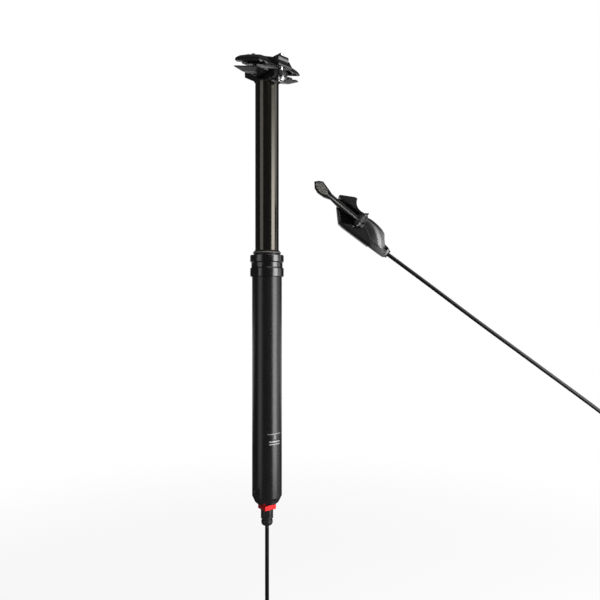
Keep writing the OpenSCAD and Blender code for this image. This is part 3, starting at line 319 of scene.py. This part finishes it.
def carve_reservoir(points):
    """Depths above KEPT_W drawn down in proportion, so that the face lies under FACE_W by the
    facet's slope times the distance beyond its arc, and by the flank's slope past FACET_W. The
    facet steepens from FACET_LEAST of its slope over FACET_RUN, and the round barrel stays as it
    is. The nose narrows by the square of the way to NOSE_END."""
    p = in_remote(points)
    beyond = np.hypot(p[:, 0] - FACET_CENTRE[0], p[:, 1] - FACET_CENTRE[1]) - FACET_R
    steep = FACET_LEAST + (1 - FACET_LEAST) * np.clip((p[:, 0] - FACET_START) / FACET_RUN, 0, 1)
    slope = FACET_SLOPE * steep
    fall = slope * soft_plus(beyond, FACET_BEND)
    fall += (FLANK_SLOPE - slope) * soft_plus(beyond - FACET_W, FLANK_BEND)
    clear = np.clip((np.hypot(p[:, 1], p[:, 2]) - BARREL_R) / BARREL_BLEND, 0, 1)
    p[:, 2] -= clear * fall * np.clip(p[:, 2] - KEPT_W, 0, None) / (FACE_W - KEPT_W)
    taper = 1 - NOSE_TAPER * np.clip((p[:, 0] - NOSE_START) / (NOSE_END - NOSE_START), 0, 1) ** 2
    p[:, 1:] *= taper[:, None]
    return out_of_remote(p)


# Lever: the arm's face falls off on both sides of a ridge, more steeply below it
LEVER_W = 8
ARM_HALF = 2.5
ARM_ENDS = (-47, -88)
ARM_FADES = (4, 5)
ARM_RIDGE = (8.5, 10.8)
RIDGE_W = 1.3
RIDGE_SLOPE = 0.55
CROWN_SLOPE = 0.1
UNDER_SLOPE = 0.8


def carve_lever(points):
    """The arm's face falls away from its ridge line: by RIDGE_SLOPE over the ridge's width above
    it, by CROWN_SLOPE further up and by UNDER_SLOPE below it, faded in from both ends of the arm."""
    p = in_remote(points)
    share = np.clip((p[:, 0] - ARM_ENDS[0]) / (ARM_ENDS[1] - ARM_ENDS[0]), 0, 1)
    up = p[:, 1] - ARM_RIDGE[0] - (ARM_RIDGE[1] - ARM_RIDGE[0]) * share
    fall = RIDGE_SLOPE * np.clip(up, 0, RIDGE_W) + CROWN_SLOPE * np.clip(up - RIDGE_W, 0, None)
    fall += UNDER_SLOPE * np.clip(-up, 0, None)
    inside = (np.clip((ARM_ENDS[0] - p[:, 0]) / ARM_FADES[0], 0, 1)
              * np.clip((p[:, 0] - ARM_ENDS[1]) / ARM_FADES[1], 0, 1))
    p[:, 2] -= inside * fall * np.clip((p[:, 2] - LEVER_W) / ARM_HALF, 0, 1)
    return out_of_remote(p)


FORGED = [
    worn("forged_head", "post_head", FORGED_GRID, rounds=6),
    worn("forged_cradle", "lower_clamp", FORGED_GRID, rounds=7),
    worn("forged_yoke", "upper_clamp", FORGED_GRID, rounds=7),
    worn("cast_body", "remote_body", CAST_GRID, rounds=8, shape=carve_reservoir),
    worn("moulded_bladder", "reservoir_bladder", FORGED_GRID, rounds=4, shape=carve_reservoir),
    worn("moulded_bracket", "bar_bracket", CAST_GRID, rounds=6),
    worn("forged_lever", "lever_arm", LEVER_GRID, rounds=3, shape=carve_lever),
]

# Turned pieces: a closed section, rounded, carried once round the post's axis
SECTION_STEP = 0.12
TURNED_SIDES = 192
LEAST_SINE = 0.01


def turned(name, node, corners, round_over, flats=None):
    """Section corners (radius, level) in millimetres, joined by even steps and averaged over a
    length of round_over, which rounds them. flats = (half width, top): below that level the
    radius is kept under half width / |sine of the bearing|."""
    loop = np.array(corners + corners[:1], dtype=float)
    edges = [a + (b - a) * np.arange(n)[:, None] / n for a, b in zip(loop[:-1], loop[1:])
             for n in [max(1, round(np.linalg.norm(b - a) / SECTION_STEP))]]
    line = np.vstack(edges)
    half = round(round_over / SECTION_STEP / 2)
    line = np.mean([np.roll(line, k, axis=0) for k in range(-half, half + 1)], axis=0)
    bearing = np.linspace(0, 2 * np.pi, TURNED_SIDES, endpoint=False)
    radius = np.broadcast_to(line[:, :1], (len(line), TURNED_SIDES))
    if flats:
        reach = flats[0] / np.maximum(np.abs(np.sin(bearing)), LEAST_SINE)
        radius = np.where(line[:, 1:] < flats[1], np.minimum(radius, reach), radius)
    level = np.broadcast_to(line[:, 1:], radius.shape)
    points = MM * np.stack([radius * np.cos(bearing), radius * np.sin(bearing), level], 2)
    return stand_in(mesh_object(name, points, grid_faces(len(line), TURNED_SIDES, True, True)), node)


# Collar with two rings, a band between them and wrench flats on the lower one
RING_R = np.ptp(np.array(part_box("seal_collar"))[:, 0]) / 2 / MM
COLLAR_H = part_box("seal_collar")[1][2] / MM
COLLAR_ROUND = 1.8
FLATS_HALF = RING_R - 0.9
LOWER_RING_H = 9.5
BAND_TOP = 15.4
BAND_R = RING_R - 1.25
NECK_R = 14.95
NECK_H = 12
MOUTH_R = 14.97
MOUTH_FLOOR = 15.7
THROAT_R = 12.85

collar = turned("turned_collar", "seal_collar", [
    (NECK_R, 0), (RING_R, 0), (RING_R, LOWER_RING_H), (BAND_R, LOWER_RING_H),
    (BAND_R, BAND_TOP), (RING_R, BAND_TOP), (RING_R, COLLAR_H), (MOUTH_R, COLLAR_H),
    (MOUTH_R, MOUTH_FLOOR), (THROAT_R, MOUTH_FLOOR), (THROAT_R, NECK_H), (NECK_R, NECK_H)],
    COLLAR_ROUND, flats=(FLATS_HALF, LOWER_RING_H))

# Wiper in the collar's mouth, with a lip that flares above it
WIPER_R = MOUTH_R - 0.02
WIPER_ROUND = 0.5
LIP_IR = 12.65
LIP_NECK_R = LIP_IR + 1.1
LIP_FLARE_R = LIP_IR + 2.25
LIP_EDGE_R = LIP_IR + 0.3
LIP_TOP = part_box("wiper_seal")[1][2] / MM
LIP_H = LIP_TOP - COLLAR_H
LIP_NECK_H = COLLAR_H + 0.2 * LIP_H
FLARE_BOTTOM = COLLAR_H + 0.4 * LIP_H
FLARE_TOP = COLLAR_H + 0.55 * LIP_H

wiper = turned("moulded_wiper", "wiper_seal", [
    (LIP_IR, MOUTH_FLOOR), (WIPER_R, MOUTH_FLOOR), (WIPER_R, COLLAR_H),
    (LIP_NECK_R, COLLAR_H), (LIP_NECK_R, LIP_NECK_H), (LIP_FLARE_R, FLARE_BOTTOM),
    (LIP_FLARE_R, FLARE_TOP), (LIP_EDGE_R, LIP_TOP), (LIP_IR, LIP_TOP)],
    WIPER_ROUND)


class Value:
    """One output socket of a finish. Operators on it add Math nodes."""

    def __init__(self, finish, socket):
        self.finish = finish
        self.socket = socket

    def math(self, operation, *others):
        """Math node of this operation on the value and the others."""
        return self.finish.node("ShaderNodeMath", {"operation": operation},
                                dict(enumerate((self,) + others)))

    def __add__(self, other):
        return self.math("ADD", other)

    __radd__ = __add__

    def __sub__(self, other):
        return self.math("SUBTRACT", other)

    def __rsub__(self, other):
        return self.math("MULTIPLY_ADD", -1, other)

    def __mul__(self, other):
        return self.math("MULTIPLY", other)

    __rmul__ = __mul__

    def __lt__(self, other):
        return self.math("LESS_THAN", other)

    def __gt__(self, other):
        return self.math("GREATER_THAN", other)

    def __abs__(self):
        return self.math("ABSOLUTE")

    def rise(self, low, high):
        """0 below low, 1 above high, and smooth between."""
        return self.finish.node("ShaderNodeMapRange", {"interpolation_type": "SMOOTHSTEP"},
                                {"Value": self, "From Min": low, "From Max": high})

    def around(self, middle, spread):
        """Values from 0 to 1 as values around a middle, spread evenly by this much in all."""
        return (middle - spread / 2) + spread * self

    def saw(self, pitch):
        """How far into each pitch the value is, from 0 to 1."""
        return self.math("DIVIDE", pitch).math("FRACT")


class Finish:
    """One shader tree: node() adds a node, and the other methods name the looks it is used for."""

    def __init__(self, tree):
        self.tree = tree
        tree.nodes.clear()

    def node(self, kind, settings=None, inputs=None, output=0):
        """Adds a node of this type, sets its settings, then its sockets' values or links."""
        made = self.tree.nodes.new(kind)
        for key, setting in (settings or {}).items():
            setattr(made, key, setting)
        for key, value in (inputs or {}).items():
            if isinstance(value, Value):
                self.tree.links.new(value.socket, made.inputs[key])
            else:
                made.inputs[key].default_value = value
        return Value(self, made.outputs[output])

    def place(self):
        """Object coordinates, in metres."""
        return self.node("ShaderNodeTexCoord", output="Object")

    def along(self, direction, offset=0.0):
        """Distance of the surface along a direction, in metres, from an offset."""
        return self.node("ShaderNodeVectorMath", {"operation": "DOT_PRODUCT"},
                         {0: self.place(), 1: tuple(direction)}, "Value") - offset

    def grain(self, size, stretch=(1, 1, 1), detail=3.0):
        """Noise from 0 to 1 with cells of this size in metres, longer where stretch is above 1."""
        scaled = self.node("ShaderNodeVectorMath", {"operation": "DIVIDE"},
                           {0: self.place(), 1: tuple(size * s for s in stretch)})
        return self.node("ShaderNodeTexNoise", None,
                         {"Vector": scaled, "Scale": 1.0, "Detail": detail})

    def mix(self, amount, low, high):
        """Colour low where amount is 0 and high where it is 1."""
        return self.node("ShaderNodeMix", {"data_type": "RGBA"},
                         {"Factor": amount, 6: low, 7: high}, 2)

    def turned_to(self, amount, normal, facing):
        """Normal as it is where amount is 0, and this facing where it is 1."""
        return self.node("ShaderNodeMix", {"data_type": "VECTOR"},
                         {"Factor": amount, 4: normal, 5: facing}, 1)

    def rounded(self, radius):
        """Normal of an edge rounded to this radius in metres."""
        return self.node("ShaderNodeBevel", {"samples": 4}, {"Radius": radius})

    def bump(self, height, depth, normal=None):
        """Normal of a surface raised by height, from 0 to 1, times a depth in metres."""
        inputs = {"Height": height, "Distance": depth, "Strength": 1.0}
        if normal is not None:
            inputs["Normal"] = normal
        return self.node("ShaderNodeBump", None, inputs)

    def rays(self):
        """1 on camera rays, and 1 on gloss and transmission rays, as two values."""
        path = {name: self.node("ShaderNodeLightPath", output=name)
                for name in ("Is Camera Ray", "Is Glossy Ray", "Is Transmission Ray")}
        return path["Is Camera Ray"], path["Is Glossy Ray"] + path["Is Transmission Ray"]

    def shade(self, **sockets):
        """Principled shader with these inputs, named with underscores for spaces, to the output."""
        shader = self.node("ShaderNodeBsdfPrincipled", None,
                           {key.replace("_", " "): value for key, value in sockets.items()})
        self.out("ShaderNodeOutputMaterial", shader)

    def out(self, kind, shader):
        """Output node of this type, fed by a shader."""
        output = self.tree.nodes.new(kind)
        self.tree.links.new(shader.socket, output.inputs["Surface"])


def new_finish(name):
    """Empty material and its Finish."""
    material = bpy.data.materials.new(name)
    material.use_nodes = True
    return material, Finish(material.node_tree)


def grey(level, warm=0.0):
    """Colour of one grey level, with a little less blue where warm is above 0."""
    return (level * (1 + warm / 2), level, level * (1 - warm), 1)


# Black anodised skin: sizes of its slow drift and of its bead-blasted grain, the depth of that
# grain and the usual radius of an edge, in metres
DRIFT = 0.012
BLAST = 0.00025
BLAST_DEPTH = 0.000004
EDGE = 0.0004


def anodised(name, level, roughness, ior, edge=EDGE, depth=BLAST_DEPTH):
    """Black anodised aluminium: a bead-blasted skin whose level and gloss drift a little, with
    machined edges rounded."""
    material, f = new_finish(name)
    drift = f.grain(DRIFT, detail=4.0)
    skin = f.grain(BLAST, detail=2.0)
    f.shade(Base_Color=f.mix(drift, grey(level * 0.8), grey(level * 1.25)),
            Roughness=roughness * drift.around(1, 0.3), IOR=ior,
            Normal=f.bump(skin, depth, f.rounded(edge)))
    return material


# Stanchion: its honed lines and its slow drift are longer along the stroke
HONED = 0.00035
HONED_STRETCH = (1, 1, 60)
HONED_DEPTH = 0.0000015
SHEEN_DRIFT = 0.02
SHEEN_STRETCH = (1, 1, 4)
BRONZE_GLOSS = (1.0, 0.92, 0.79, 1)


def polished_black():
    """Stanchion: hard anodised and honed, with fine lines along the stroke and a bronze gloss."""
    material, f = new_finish("polished_black")
    lines = f.grain(HONED, HONED_STRETCH, detail=2.0)
    drift = f.grain(SHEEN_DRIFT, SHEEN_STRETCH)
    f.shade(Base_Color=f.mix(drift, grey(0.002, warm=0.15), grey(0.004, warm=0.15)),
            Roughness=0.13 + 0.06 * lines, IOR=1.6, Specular_Tint=BRONZE_GLOSS,
            Normal=f.bump(lines, HONED_DEPTH))
    return material


# Outer tube: sizes of its drift and skin
SATIN_DRIFT = 0.015
SATIN_SKIN = 0.0003

# Insertion mark: which way it faces, its height, and its strokes as the level of their middle,
# half their width and half their height, in millimetres
MARK_TURN = np.radians(-10)
MARK_SIDE = (np.cos(MARK_TURN), np.sin(MARK_TURN), 0)
MARK_ACROSS = (-np.sin(MARK_TURN), np.cos(MARK_TURN), 0)
MARK_LEVEL = -0.164
MARK_STROKES = [(0, 8, 0.25), (-2.9, 0.3, 1.9), (-8, 6.2, 0.5), (-10.7, 6.2, 0.4)]
MARK_GREY = 0.45

# Flat patch low on the tube's left, with a painted highlight for a dimple: which way it faces, its
# top and half width
PATCH_TURN = TURN - np.pi / 2 - np.radians(56)
PATCH_SIDE = (np.cos(PATCH_TURN), np.sin(PATCH_TURN), 0)
PATCH_ACROSS = (-np.sin(PATCH_TURN), np.cos(PATCH_TURN), 0)
PATCH_LEVEL = -0.2222
PATCH_HALF = 0.0072
DIMPLE_DROP = 0.0035
DIMPLE_R = 0.0009


def printed_tube():
    """Outer tube: satin black with a plain insertion mark, a line over a stem and two bars, and a
    patch low on its left whose normal is turned as a flat, with a painted highlight for a dimple in
    it."""
    material, f = new_finish("printed_tube")
    drift = f.grain(SATIN_DRIFT, detail=4.0)
    skin = f.grain(SATIN_SKIN, detail=2.0)
    front = f.along(MARK_SIDE) > 0
    across = abs(f.along(MARK_ACROSS))
    height = f.along(UP, MARK_LEVEL)
    mark = sum(front * (across < half_wide * MM) * (abs(height - middle * MM) < half_high * MM)
               for middle, half_wide, half_high in MARK_STROKES).math("MINIMUM", 1.0)
    level = f.along(UP, PATCH_LEVEL)
    aside = f.along(PATCH_ACROSS)
    patch = (f.along(PATCH_SIDE) > 0) * (abs(aside) < PATCH_HALF) * (level < 0)
    drop = level + DIMPLE_DROP
    dimple_highlight = aside * aside + drop * drop < DIMPLE_R**2
    # Painted highlight: a paler spot in the colour where the dimple is.
    paint = mark * (0.6 + 0.25 * skin) + 0.1 * patch * dimple_highlight
    satin = f.bump(skin, BLAST_DEPTH, f.rounded(EDGE))
    f.shade(Base_Color=f.mix(paint, f.mix(drift, grey(0.004), grey(0.007)), grey(MARK_GREY)),
            Roughness=0.25 + 0.06 * drift, IOR=1.42, Normal=f.turned_to(patch, satin, PATCH_SIDE))
    return material


# Plated steel: its turning lines, and the clamp bolts' places, shanks and thread, in metres
TURNING = 0.0006
TURNING_STRETCH = (3, 3, 0.3)
TURNING_DEPTH = 0.00001
PLATED_EDGE = 0.00025
BOLT_REACH = 0.0215
SHANK_R = 0.0027
THREAD_PITCH = 0.0008
THREAD_DEPTH = 0.00025


def plated(name, level, roughness, thread=False):
    """Plated steel: fine turning lines and, where asked for, a thread on the bolts' shanks."""
    material, f = new_finish(name)
    lines = f.grain(TURNING, TURNING_STRETCH, detail=2.0)
    normal = f.rounded(PLATED_EDGE)
    if thread:
        off = abs(f.along((1, 0, 0))) - BOLT_REACH
        side = f.along((0, 1, 0))
        shank = off * off + side * side < SHANK_R**2
        ridge = abs(f.along(UP).saw(THREAD_PITCH) - 0.5) * 2 * shank
        normal = f.bump(ridge, THREAD_DEPTH, normal)
    f.shade(Base_Color=f.mix(lines, grey(level * 0.85), grey(level)), Metallic=1.0,
            Roughness=roughness * lines.around(1, 0.4),
            Normal=f.bump(lines, TURNING_DEPTH, normal))
    return material


# Dyed metal: its milling lines
MILLING = 0.0005
MILLING_STRETCH = (6, 6, 0.5)
MILLING_DEPTH = 0.000006
DYED_EDGE = 0.0003


def dyed(name, colour, roughness, metallic):
    """Coloured metal with fine milling lines, darker between them."""
    material, f = new_finish(name)
    lines = f.grain(MILLING, MILLING_STRETCH, detail=2.0)
    f.shade(Base_Color=f.mix(lines, tuple(0.6 * c for c in colour) + (1,), colour + (1,)),
            Metallic=metallic, Roughness=roughness * lines.around(1, 0.3),
            Normal=f.bump(lines, MILLING_DEPTH, f.rounded(DYED_EDGE)))
    return material


# Moulded skin: its pebbles and its dust
PEBBLE = 0.0004
PEBBLE_DEPTH = 0.00002
DUST = 0.009


def moulded(name, level, roughness, pebble=PEBBLE, depth=PEBBLE_DEPTH, edge=EDGE):
    """Moulded rubber or plastic: a fine pebbled skin with a dusty drift."""
    material, f = new_finish(name)
    skin = f.grain(pebble, detail=2.0)
    dust = f.grain(DUST, detail=5.0)
    f.shade(Base_Color=f.mix(dust, grey(level * 0.75), grey(level * 1.3)),
            Roughness=dust.around(roughness, 0.12), IOR=1.48,
            Normal=f.bump(skin, depth, f.rounded(edge)))
    return material


# Remote: how far along and across its own axes its exit lies, where painted light makes its body
# paler, where the lever turns dull towards its hub, and half the width of the painted highlight along
# the lever's ridge in millimetres
REMOTE_ALONG = REMOTE_AXES[0] @ LAYOUT
REMOTE_ACROSS = REMOTE_AXES[1] @ LAYOUT
NOSE_PLACE = MM * REMOTE_AT @ REMOTE_AXES[0]
SIDE_PLACE = MM * REMOTE_AT @ REMOTE_AXES[1]
NOSE_LIGHT_SPAN = (-0.03, -0.005)
BODY_EDGE = 0.0005
HUB = (-0.052, -0.049)
RIDGE_HIGHLIGHT_HALF = 0.45


def painted_lit_nose(name, level, pale):
    """Reservoir: black anodised like the rest, with painted light that turns it paler towards its
    hose end.
    """
    material, f = new_finish(name)
    drift = f.grain(DRIFT, detail=4.0)
    skin = f.grain(BLAST, detail=2.0)
    # Painted light: the body's colour turns paler towards its hose end, where light falls on the
    # nose.
    nose_light = f.along(REMOTE_ALONG, NOSE_PLACE).rise(*NOSE_LIGHT_SPAN) * drift.around(1, 0.6)
    f.shade(Base_Color=f.mix(nose_light, grey(level), grey(pale)), Roughness=0.27 + 0.08 * drift, IOR=1.6,
            Normal=f.bump(skin, BLAST_DEPTH, f.rounded(BODY_EDGE)))
    return material


def ridged(name, level, pale):
    """Lever: dark anodised, with a painted highlight along the ridge of its arm, and dull round its
    hub.
    """
    material, f = new_finish(name)
    drift = f.grain(DRIFT, detail=4.0)
    skin = f.grain(BLAST, detail=2.0)
    reach = f.along(REMOTE_ALONG, NOSE_PLACE)
    across = f.along(REMOTE_ACROSS, SIDE_PLACE + ARM_RIDGE[0] * MM)
    lean = (ARM_RIDGE[1] - ARM_RIDGE[0]) / (ARM_ENDS[1] - ARM_ENDS[0])
    crest = across - lean * (reach - ARM_ENDS[0] * MM)
    # Painted highlight: a pale line in the colour along the crest of the arm's ridge, on its near
    # face.
    edge = (abs(crest) < RIDGE_HIGHLIGHT_HALF * MM) * (reach < ARM_ENDS[0] * MM) * (
        f.along(NEAR) > LEVER_W * MM)
    f.shade(Base_Color=f.mix(edge * (0.6 + 0.4 * drift), grey(level), grey(pale, warm=0.05)),
            Roughness=0.25 + 0.04 * drift + 0.35 * reach.rise(*HUB), IOR=1.5,
            Normal=f.bump(skin, BLAST_DEPTH, f.rounded(EDGE)))
    return material


# Thumb pad: size, share and depth of its grip's cells, and its edge
GRIP = 0.0008
GRIP_TOPS = (0.38, 0.64)
GRIP_DEPTH = 0.00012
PAD_EDGE = 0.0003


def gripped(name, low, high):
    """Thumb pad: paler on the tops and darker in the valleys of a close grip, about a millimetre
    apart.
    """
    material, f = new_finish(name)
    cells = f.grain(GRIP, detail=1.0).rise(*GRIP_TOPS)
    f.shade(Base_Color=f.mix(cells, grey(low, warm=0.1), grey(high, warm=0.1)),
            Roughness=0.55 - 0.15 * cells,
            Normal=f.bump(cells, GRIP_DEPTH, f.rounded(PAD_EDGE)))
    return material


# Wiper: the level and half height of the painted highlight along its lip's edge, in millimetres, and
# its dust
LIP_HIGHLIGHT_LEVEL = COLLAR_H + 0.5 * LIP_H
LIP_HIGHLIGHT_HALF = 0.35
LIP_DUST = 0.004
LIP_DEPTH = 0.00001


def lipped():
    """Wiper: soft black rubber with a painted highlight along the edge of its flared lip."""
    material, f = new_finish("lipped")
    dust = f.grain(LIP_DUST, detail=4.0)
    # Painted highlight: a pale band in the colour along the edge of the lip's flare.
    edge = (abs(f.along(UP, LIP_HIGHLIGHT_LEVEL * MM)) < LIP_HIGHLIGHT_HALF * MM) * (0.6 + 0.4 * dust)
    f.shade(Base_Color=f.mix(edge, grey(0.006), grey(0.16, warm=0.1)), Roughness=0.36 + 0.1 * dust,
            Normal=f.bump(dust, LIP_DEPTH))
    return material


# Hose jacket: its bloom and its skin
BLOOM = 0.02
JACKET_SKIN = 0.0006
JACKET_DEPTH = 0.000005


def extruded_jacket():
    """Hose: black jacket with a fine uneven skin and a dull bloom."""
    material, f = new_finish("extruded_jacket")
    bloom = f.grain(BLOOM, detail=4.0)
    skin = f.grain(JACKET_SKIN)
    f.shade(Base_Color=f.mix(bloom, grey(0.0015), grey(0.003)),
            Roughness=0.3 + 0.1 * bloom, IOR=1.33, Normal=f.bump(skin, JACKET_DEPTH))
    return material


# Tie: spacing of its ribs across and along it, and their depth
RIB_PITCH = 0.0008
WEFT_PITCH = 0.0006
WEAVE_DEPTH = 0.00012


def woven_strap():
    """Tie: close weave of crossing ribs."""
    material, f = new_finish("woven_strap")
    weave = abs(f.along(RIGHT).saw(RIB_PITCH) - 0.5) + abs(f.along(UP).saw(WEFT_PITCH) - 0.5)
    f.shade(Base_Color=f.mix(weave, grey(0.012), grey(0.035)), Roughness=0.8,
            Normal=f.bump(weave, WEAVE_DEPTH))
    return material


def coat(piece, finish):
    """The piece shows this finish alone."""
    piece.data.materials.clear()
    piece.data.materials.append(finish)


BRASS = (0.72, 0.52, 0.22)
RED = (0.6, 0.018, 0.02)
STEEL = {"level": 0.78, "roughness": 0.22}
FINISHES = {
    "tube_black": printed_tube(),
    "collar_black": anodised("collar_black", level=0.0015, roughness=0.23, ior=1.65, depth=0.000001),
    "stanchion_black": polished_black(),
    "head_black": anodised("head_black", level=0.006, roughness=0.27, ior=1.5),
    "clamp_black": anodised("clamp_black", level=0.006, roughness=0.26, ior=1.5),
    "bare_alloy": plated("bare_alloy", level=0.62, roughness=0.35),
    "steel": plated("steel", **STEEL),
    "black_steel": plated("black_steel", level=0.1, roughness=0.3),
    "key_brass": dyed("key_brass", BRASS, roughness=0.3, metallic=1.0),
    "bushing": moulded("bushing", level=0.3, roughness=0.5),
    "seal_rubber": moulded("seal_rubber", level=0.01, roughness=0.42),
    "boot_rubber": moulded("boot_rubber", level=0.005, roughness=0.36),
    "red_alloy": dyed("red_alloy", RED, roughness=0.34, metallic=0.75),
    "connector_black": anodised("connector_black", level=0.006, roughness=0.2, ior=1.6, edge=0.0003),
    "hose_black": extruded_jacket(),
    "tie_black": woven_strap(),
    # pale: colour of the painted light on the reservoir's nose
    "remote_black": painted_lit_nose("remote_black", level=0.009, pale=0.1),
    "bracket_black": moulded("bracket_black", level=0.007, roughness=0.34, pebble=0.0003,
                             depth=0.000006, edge=BODY_EDGE),
    # pale: colour of the painted highlight along the lever's ridge
    "lever_grey": ridged("lever_grey", level=0.006, pale=0.2),
    "pad_grey": gripped("pad_grey", low=0.05, high=0.14),
}

for node, slot in SLOT_OF.items():
    coat(nodes[node], FINISHES[slot])
for piece in [hose, tie, collar] + FORGED:
    coat(piece, FINISHES[piece["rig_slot"]])
coat(nodes["clamp_bolts"], plated("threaded_steel", **STEEL, thread=True))
coat(wiper, lipped())

# Floor, just under the lowest piece: it turns to plain white away from the object
FLOOR_DROP = 0.0006
FLOOR_REACH = 8.0
FLOOR_WHITE = 0.86
FLOOR_FADE = (0.5, 1.1)
FLOOR_PALE = 0.65
FLOOR_DULL = 0.16
BACKDROP = (0.8, 1.6)


def floor_finish():
    """Pale floor that holds a shadow near the object, and is white further off. Camera rays see it
    lit by itself, and so do gloss and transmission rays behind the object; in front of it these see
    a dull floor, and other rays the plain pale surface."""
    material, f = new_finish("pale_floor")
    to_camera, mirrored = f.rays()
    seen = to_camera + f.along(-NEAR).rise(*BACKDROP) * mirrored
    reach = f.node("ShaderNodeVectorMath", {"operation": "LENGTH"}, {0: f.place()}, "Value")
    white = FLOOR_WHITE + (1 - FLOOR_WHITE) * reach.rise(*FLOOR_FADE)
    colour = f.mix(mirrored, grey(FLOOR_PALE), grey(FLOOR_DULL))
    pale = f.node("ShaderNodeBsdfDiffuse", None, {"Color": colour})
    glow = f.node("ShaderNodeEmission", None, {"Color": grey(1.0), "Strength": 1.0})
    f.out("ShaderNodeOutputMaterial",
          f.node("ShaderNodeMixShader", None, {0: seen * white, 1: pale, 2: glow}))
    return material


span = np.linspace(-FLOOR_REACH, FLOOR_REACH, 2)
floor_points = np.stack(np.meshgrid(span, span, [cad_box[0][2] - FLOOR_DROP], indexing="ij"), -1)
floor = mesh_object("floor", floor_points, [[0, 2, 3, 1]])
coat(floor, floor_finish())

# World: white to the camera, a white cove behind the object and a dim room in front of it for
# reflections, and an even soft light for everything else
AMBIENT = 0.28
ROOM = 0.07
COVE = (0.975, 0.998)

world = bpy.data.worlds.new("studio")
bpy.context.scene.world = world
world.use_nodes = True
sky = Finish(world.node_tree)
heading = sky.node("ShaderNodeTexCoord", output="Generated")
behind = sky.node("ShaderNodeVectorMath", {"operation": "DOT_PRODUCT"},
                  {0: heading, 1: tuple(-NEAR)}, "Value")
to_camera, mirrored = sky.rays()
cove = ROOM + (1 - ROOM) * behind.rise(*COVE)
strength = AMBIENT + mirrored * (cove - AMBIENT) + to_camera * (1 - AMBIENT)
sky.out("ShaderNodeOutputWorld",
        sky.node("ShaderNodeBackground", None, {"Color": grey(1.0), "Strength": strength}))


def softbox(name, bearing, rise, size, radiance, distance, fade=None):
    """Area lamp aimed at the post: bearing in degrees right of the camera's side, rise in degrees.
    Its power is pi times its area times its radiance. fade = (start, end, loss): it gets dimmer
    smoothly between these shares of its height, by that share of its light."""
    turn, tilt = np.radians(bearing), np.radians(rise)
    out = np.cos(tilt) * (np.sin(turn) * RIGHT + np.cos(turn) * NEAR) + np.sin(tilt) * UP
    lamp = bpy.data.lights.new(name, "AREA")
    lamp.shape = "RECTANGLE"
    lamp.size, lamp.size_y = size
    lamp.energy = np.pi * size[0] * size[1] * radiance
    if fade:
        start, end, loss = fade
        lamp.use_nodes = True
        f = Finish(lamp.node_tree)
        spot = f.node("ShaderNodeNewGeometry", output="Parametric")
        height = f.node("ShaderNodeSeparateXYZ", None, {0: spot}, "Y")
        f.out("ShaderNodeOutputLight", f.node("ShaderNodeEmission", None, {
            "Color": grey(1.0), "Strength": 1 - loss * height.rise(start, end)}))
    box = linked(name, lamp)
    box.visible_camera = False
    box.rotation_euler = Vector(out).to_track_quat("Z", "Y").to_euler()
    box.location = distance * out


# Strips stand close, from just above the floor to above the head, so the post mirrors them full
# length; the key strip is dimmer towards its top, so its band on the tube fades up to the head
STRIP_H = 0.92
STRIP_RISE = 2
STRIP_AWAY = 0.66
KEY_FADE = (0.63, 0.97, 0.83)

softbox("key_strip", bearing=64, rise=STRIP_RISE, size=(0.37, STRIP_H), radiance=8.5,
        distance=STRIP_AWAY, fade=KEY_FADE)
softbox("side_strip", bearing=97, rise=STRIP_RISE, size=(0.3, STRIP_H), radiance=1.5,
        distance=STRIP_AWAY)
softbox("fill_strip", bearing=-51, rise=STRIP_RISE, size=(0.37, STRIP_H), radiance=1.45,
        distance=STRIP_AWAY)
softbox("top_panel", bearing=42, rise=50, size=(1.3, 0.9), radiance=2.2, distance=1.5)

bpy.context.scene.view_settings.view_transform = "Standard"
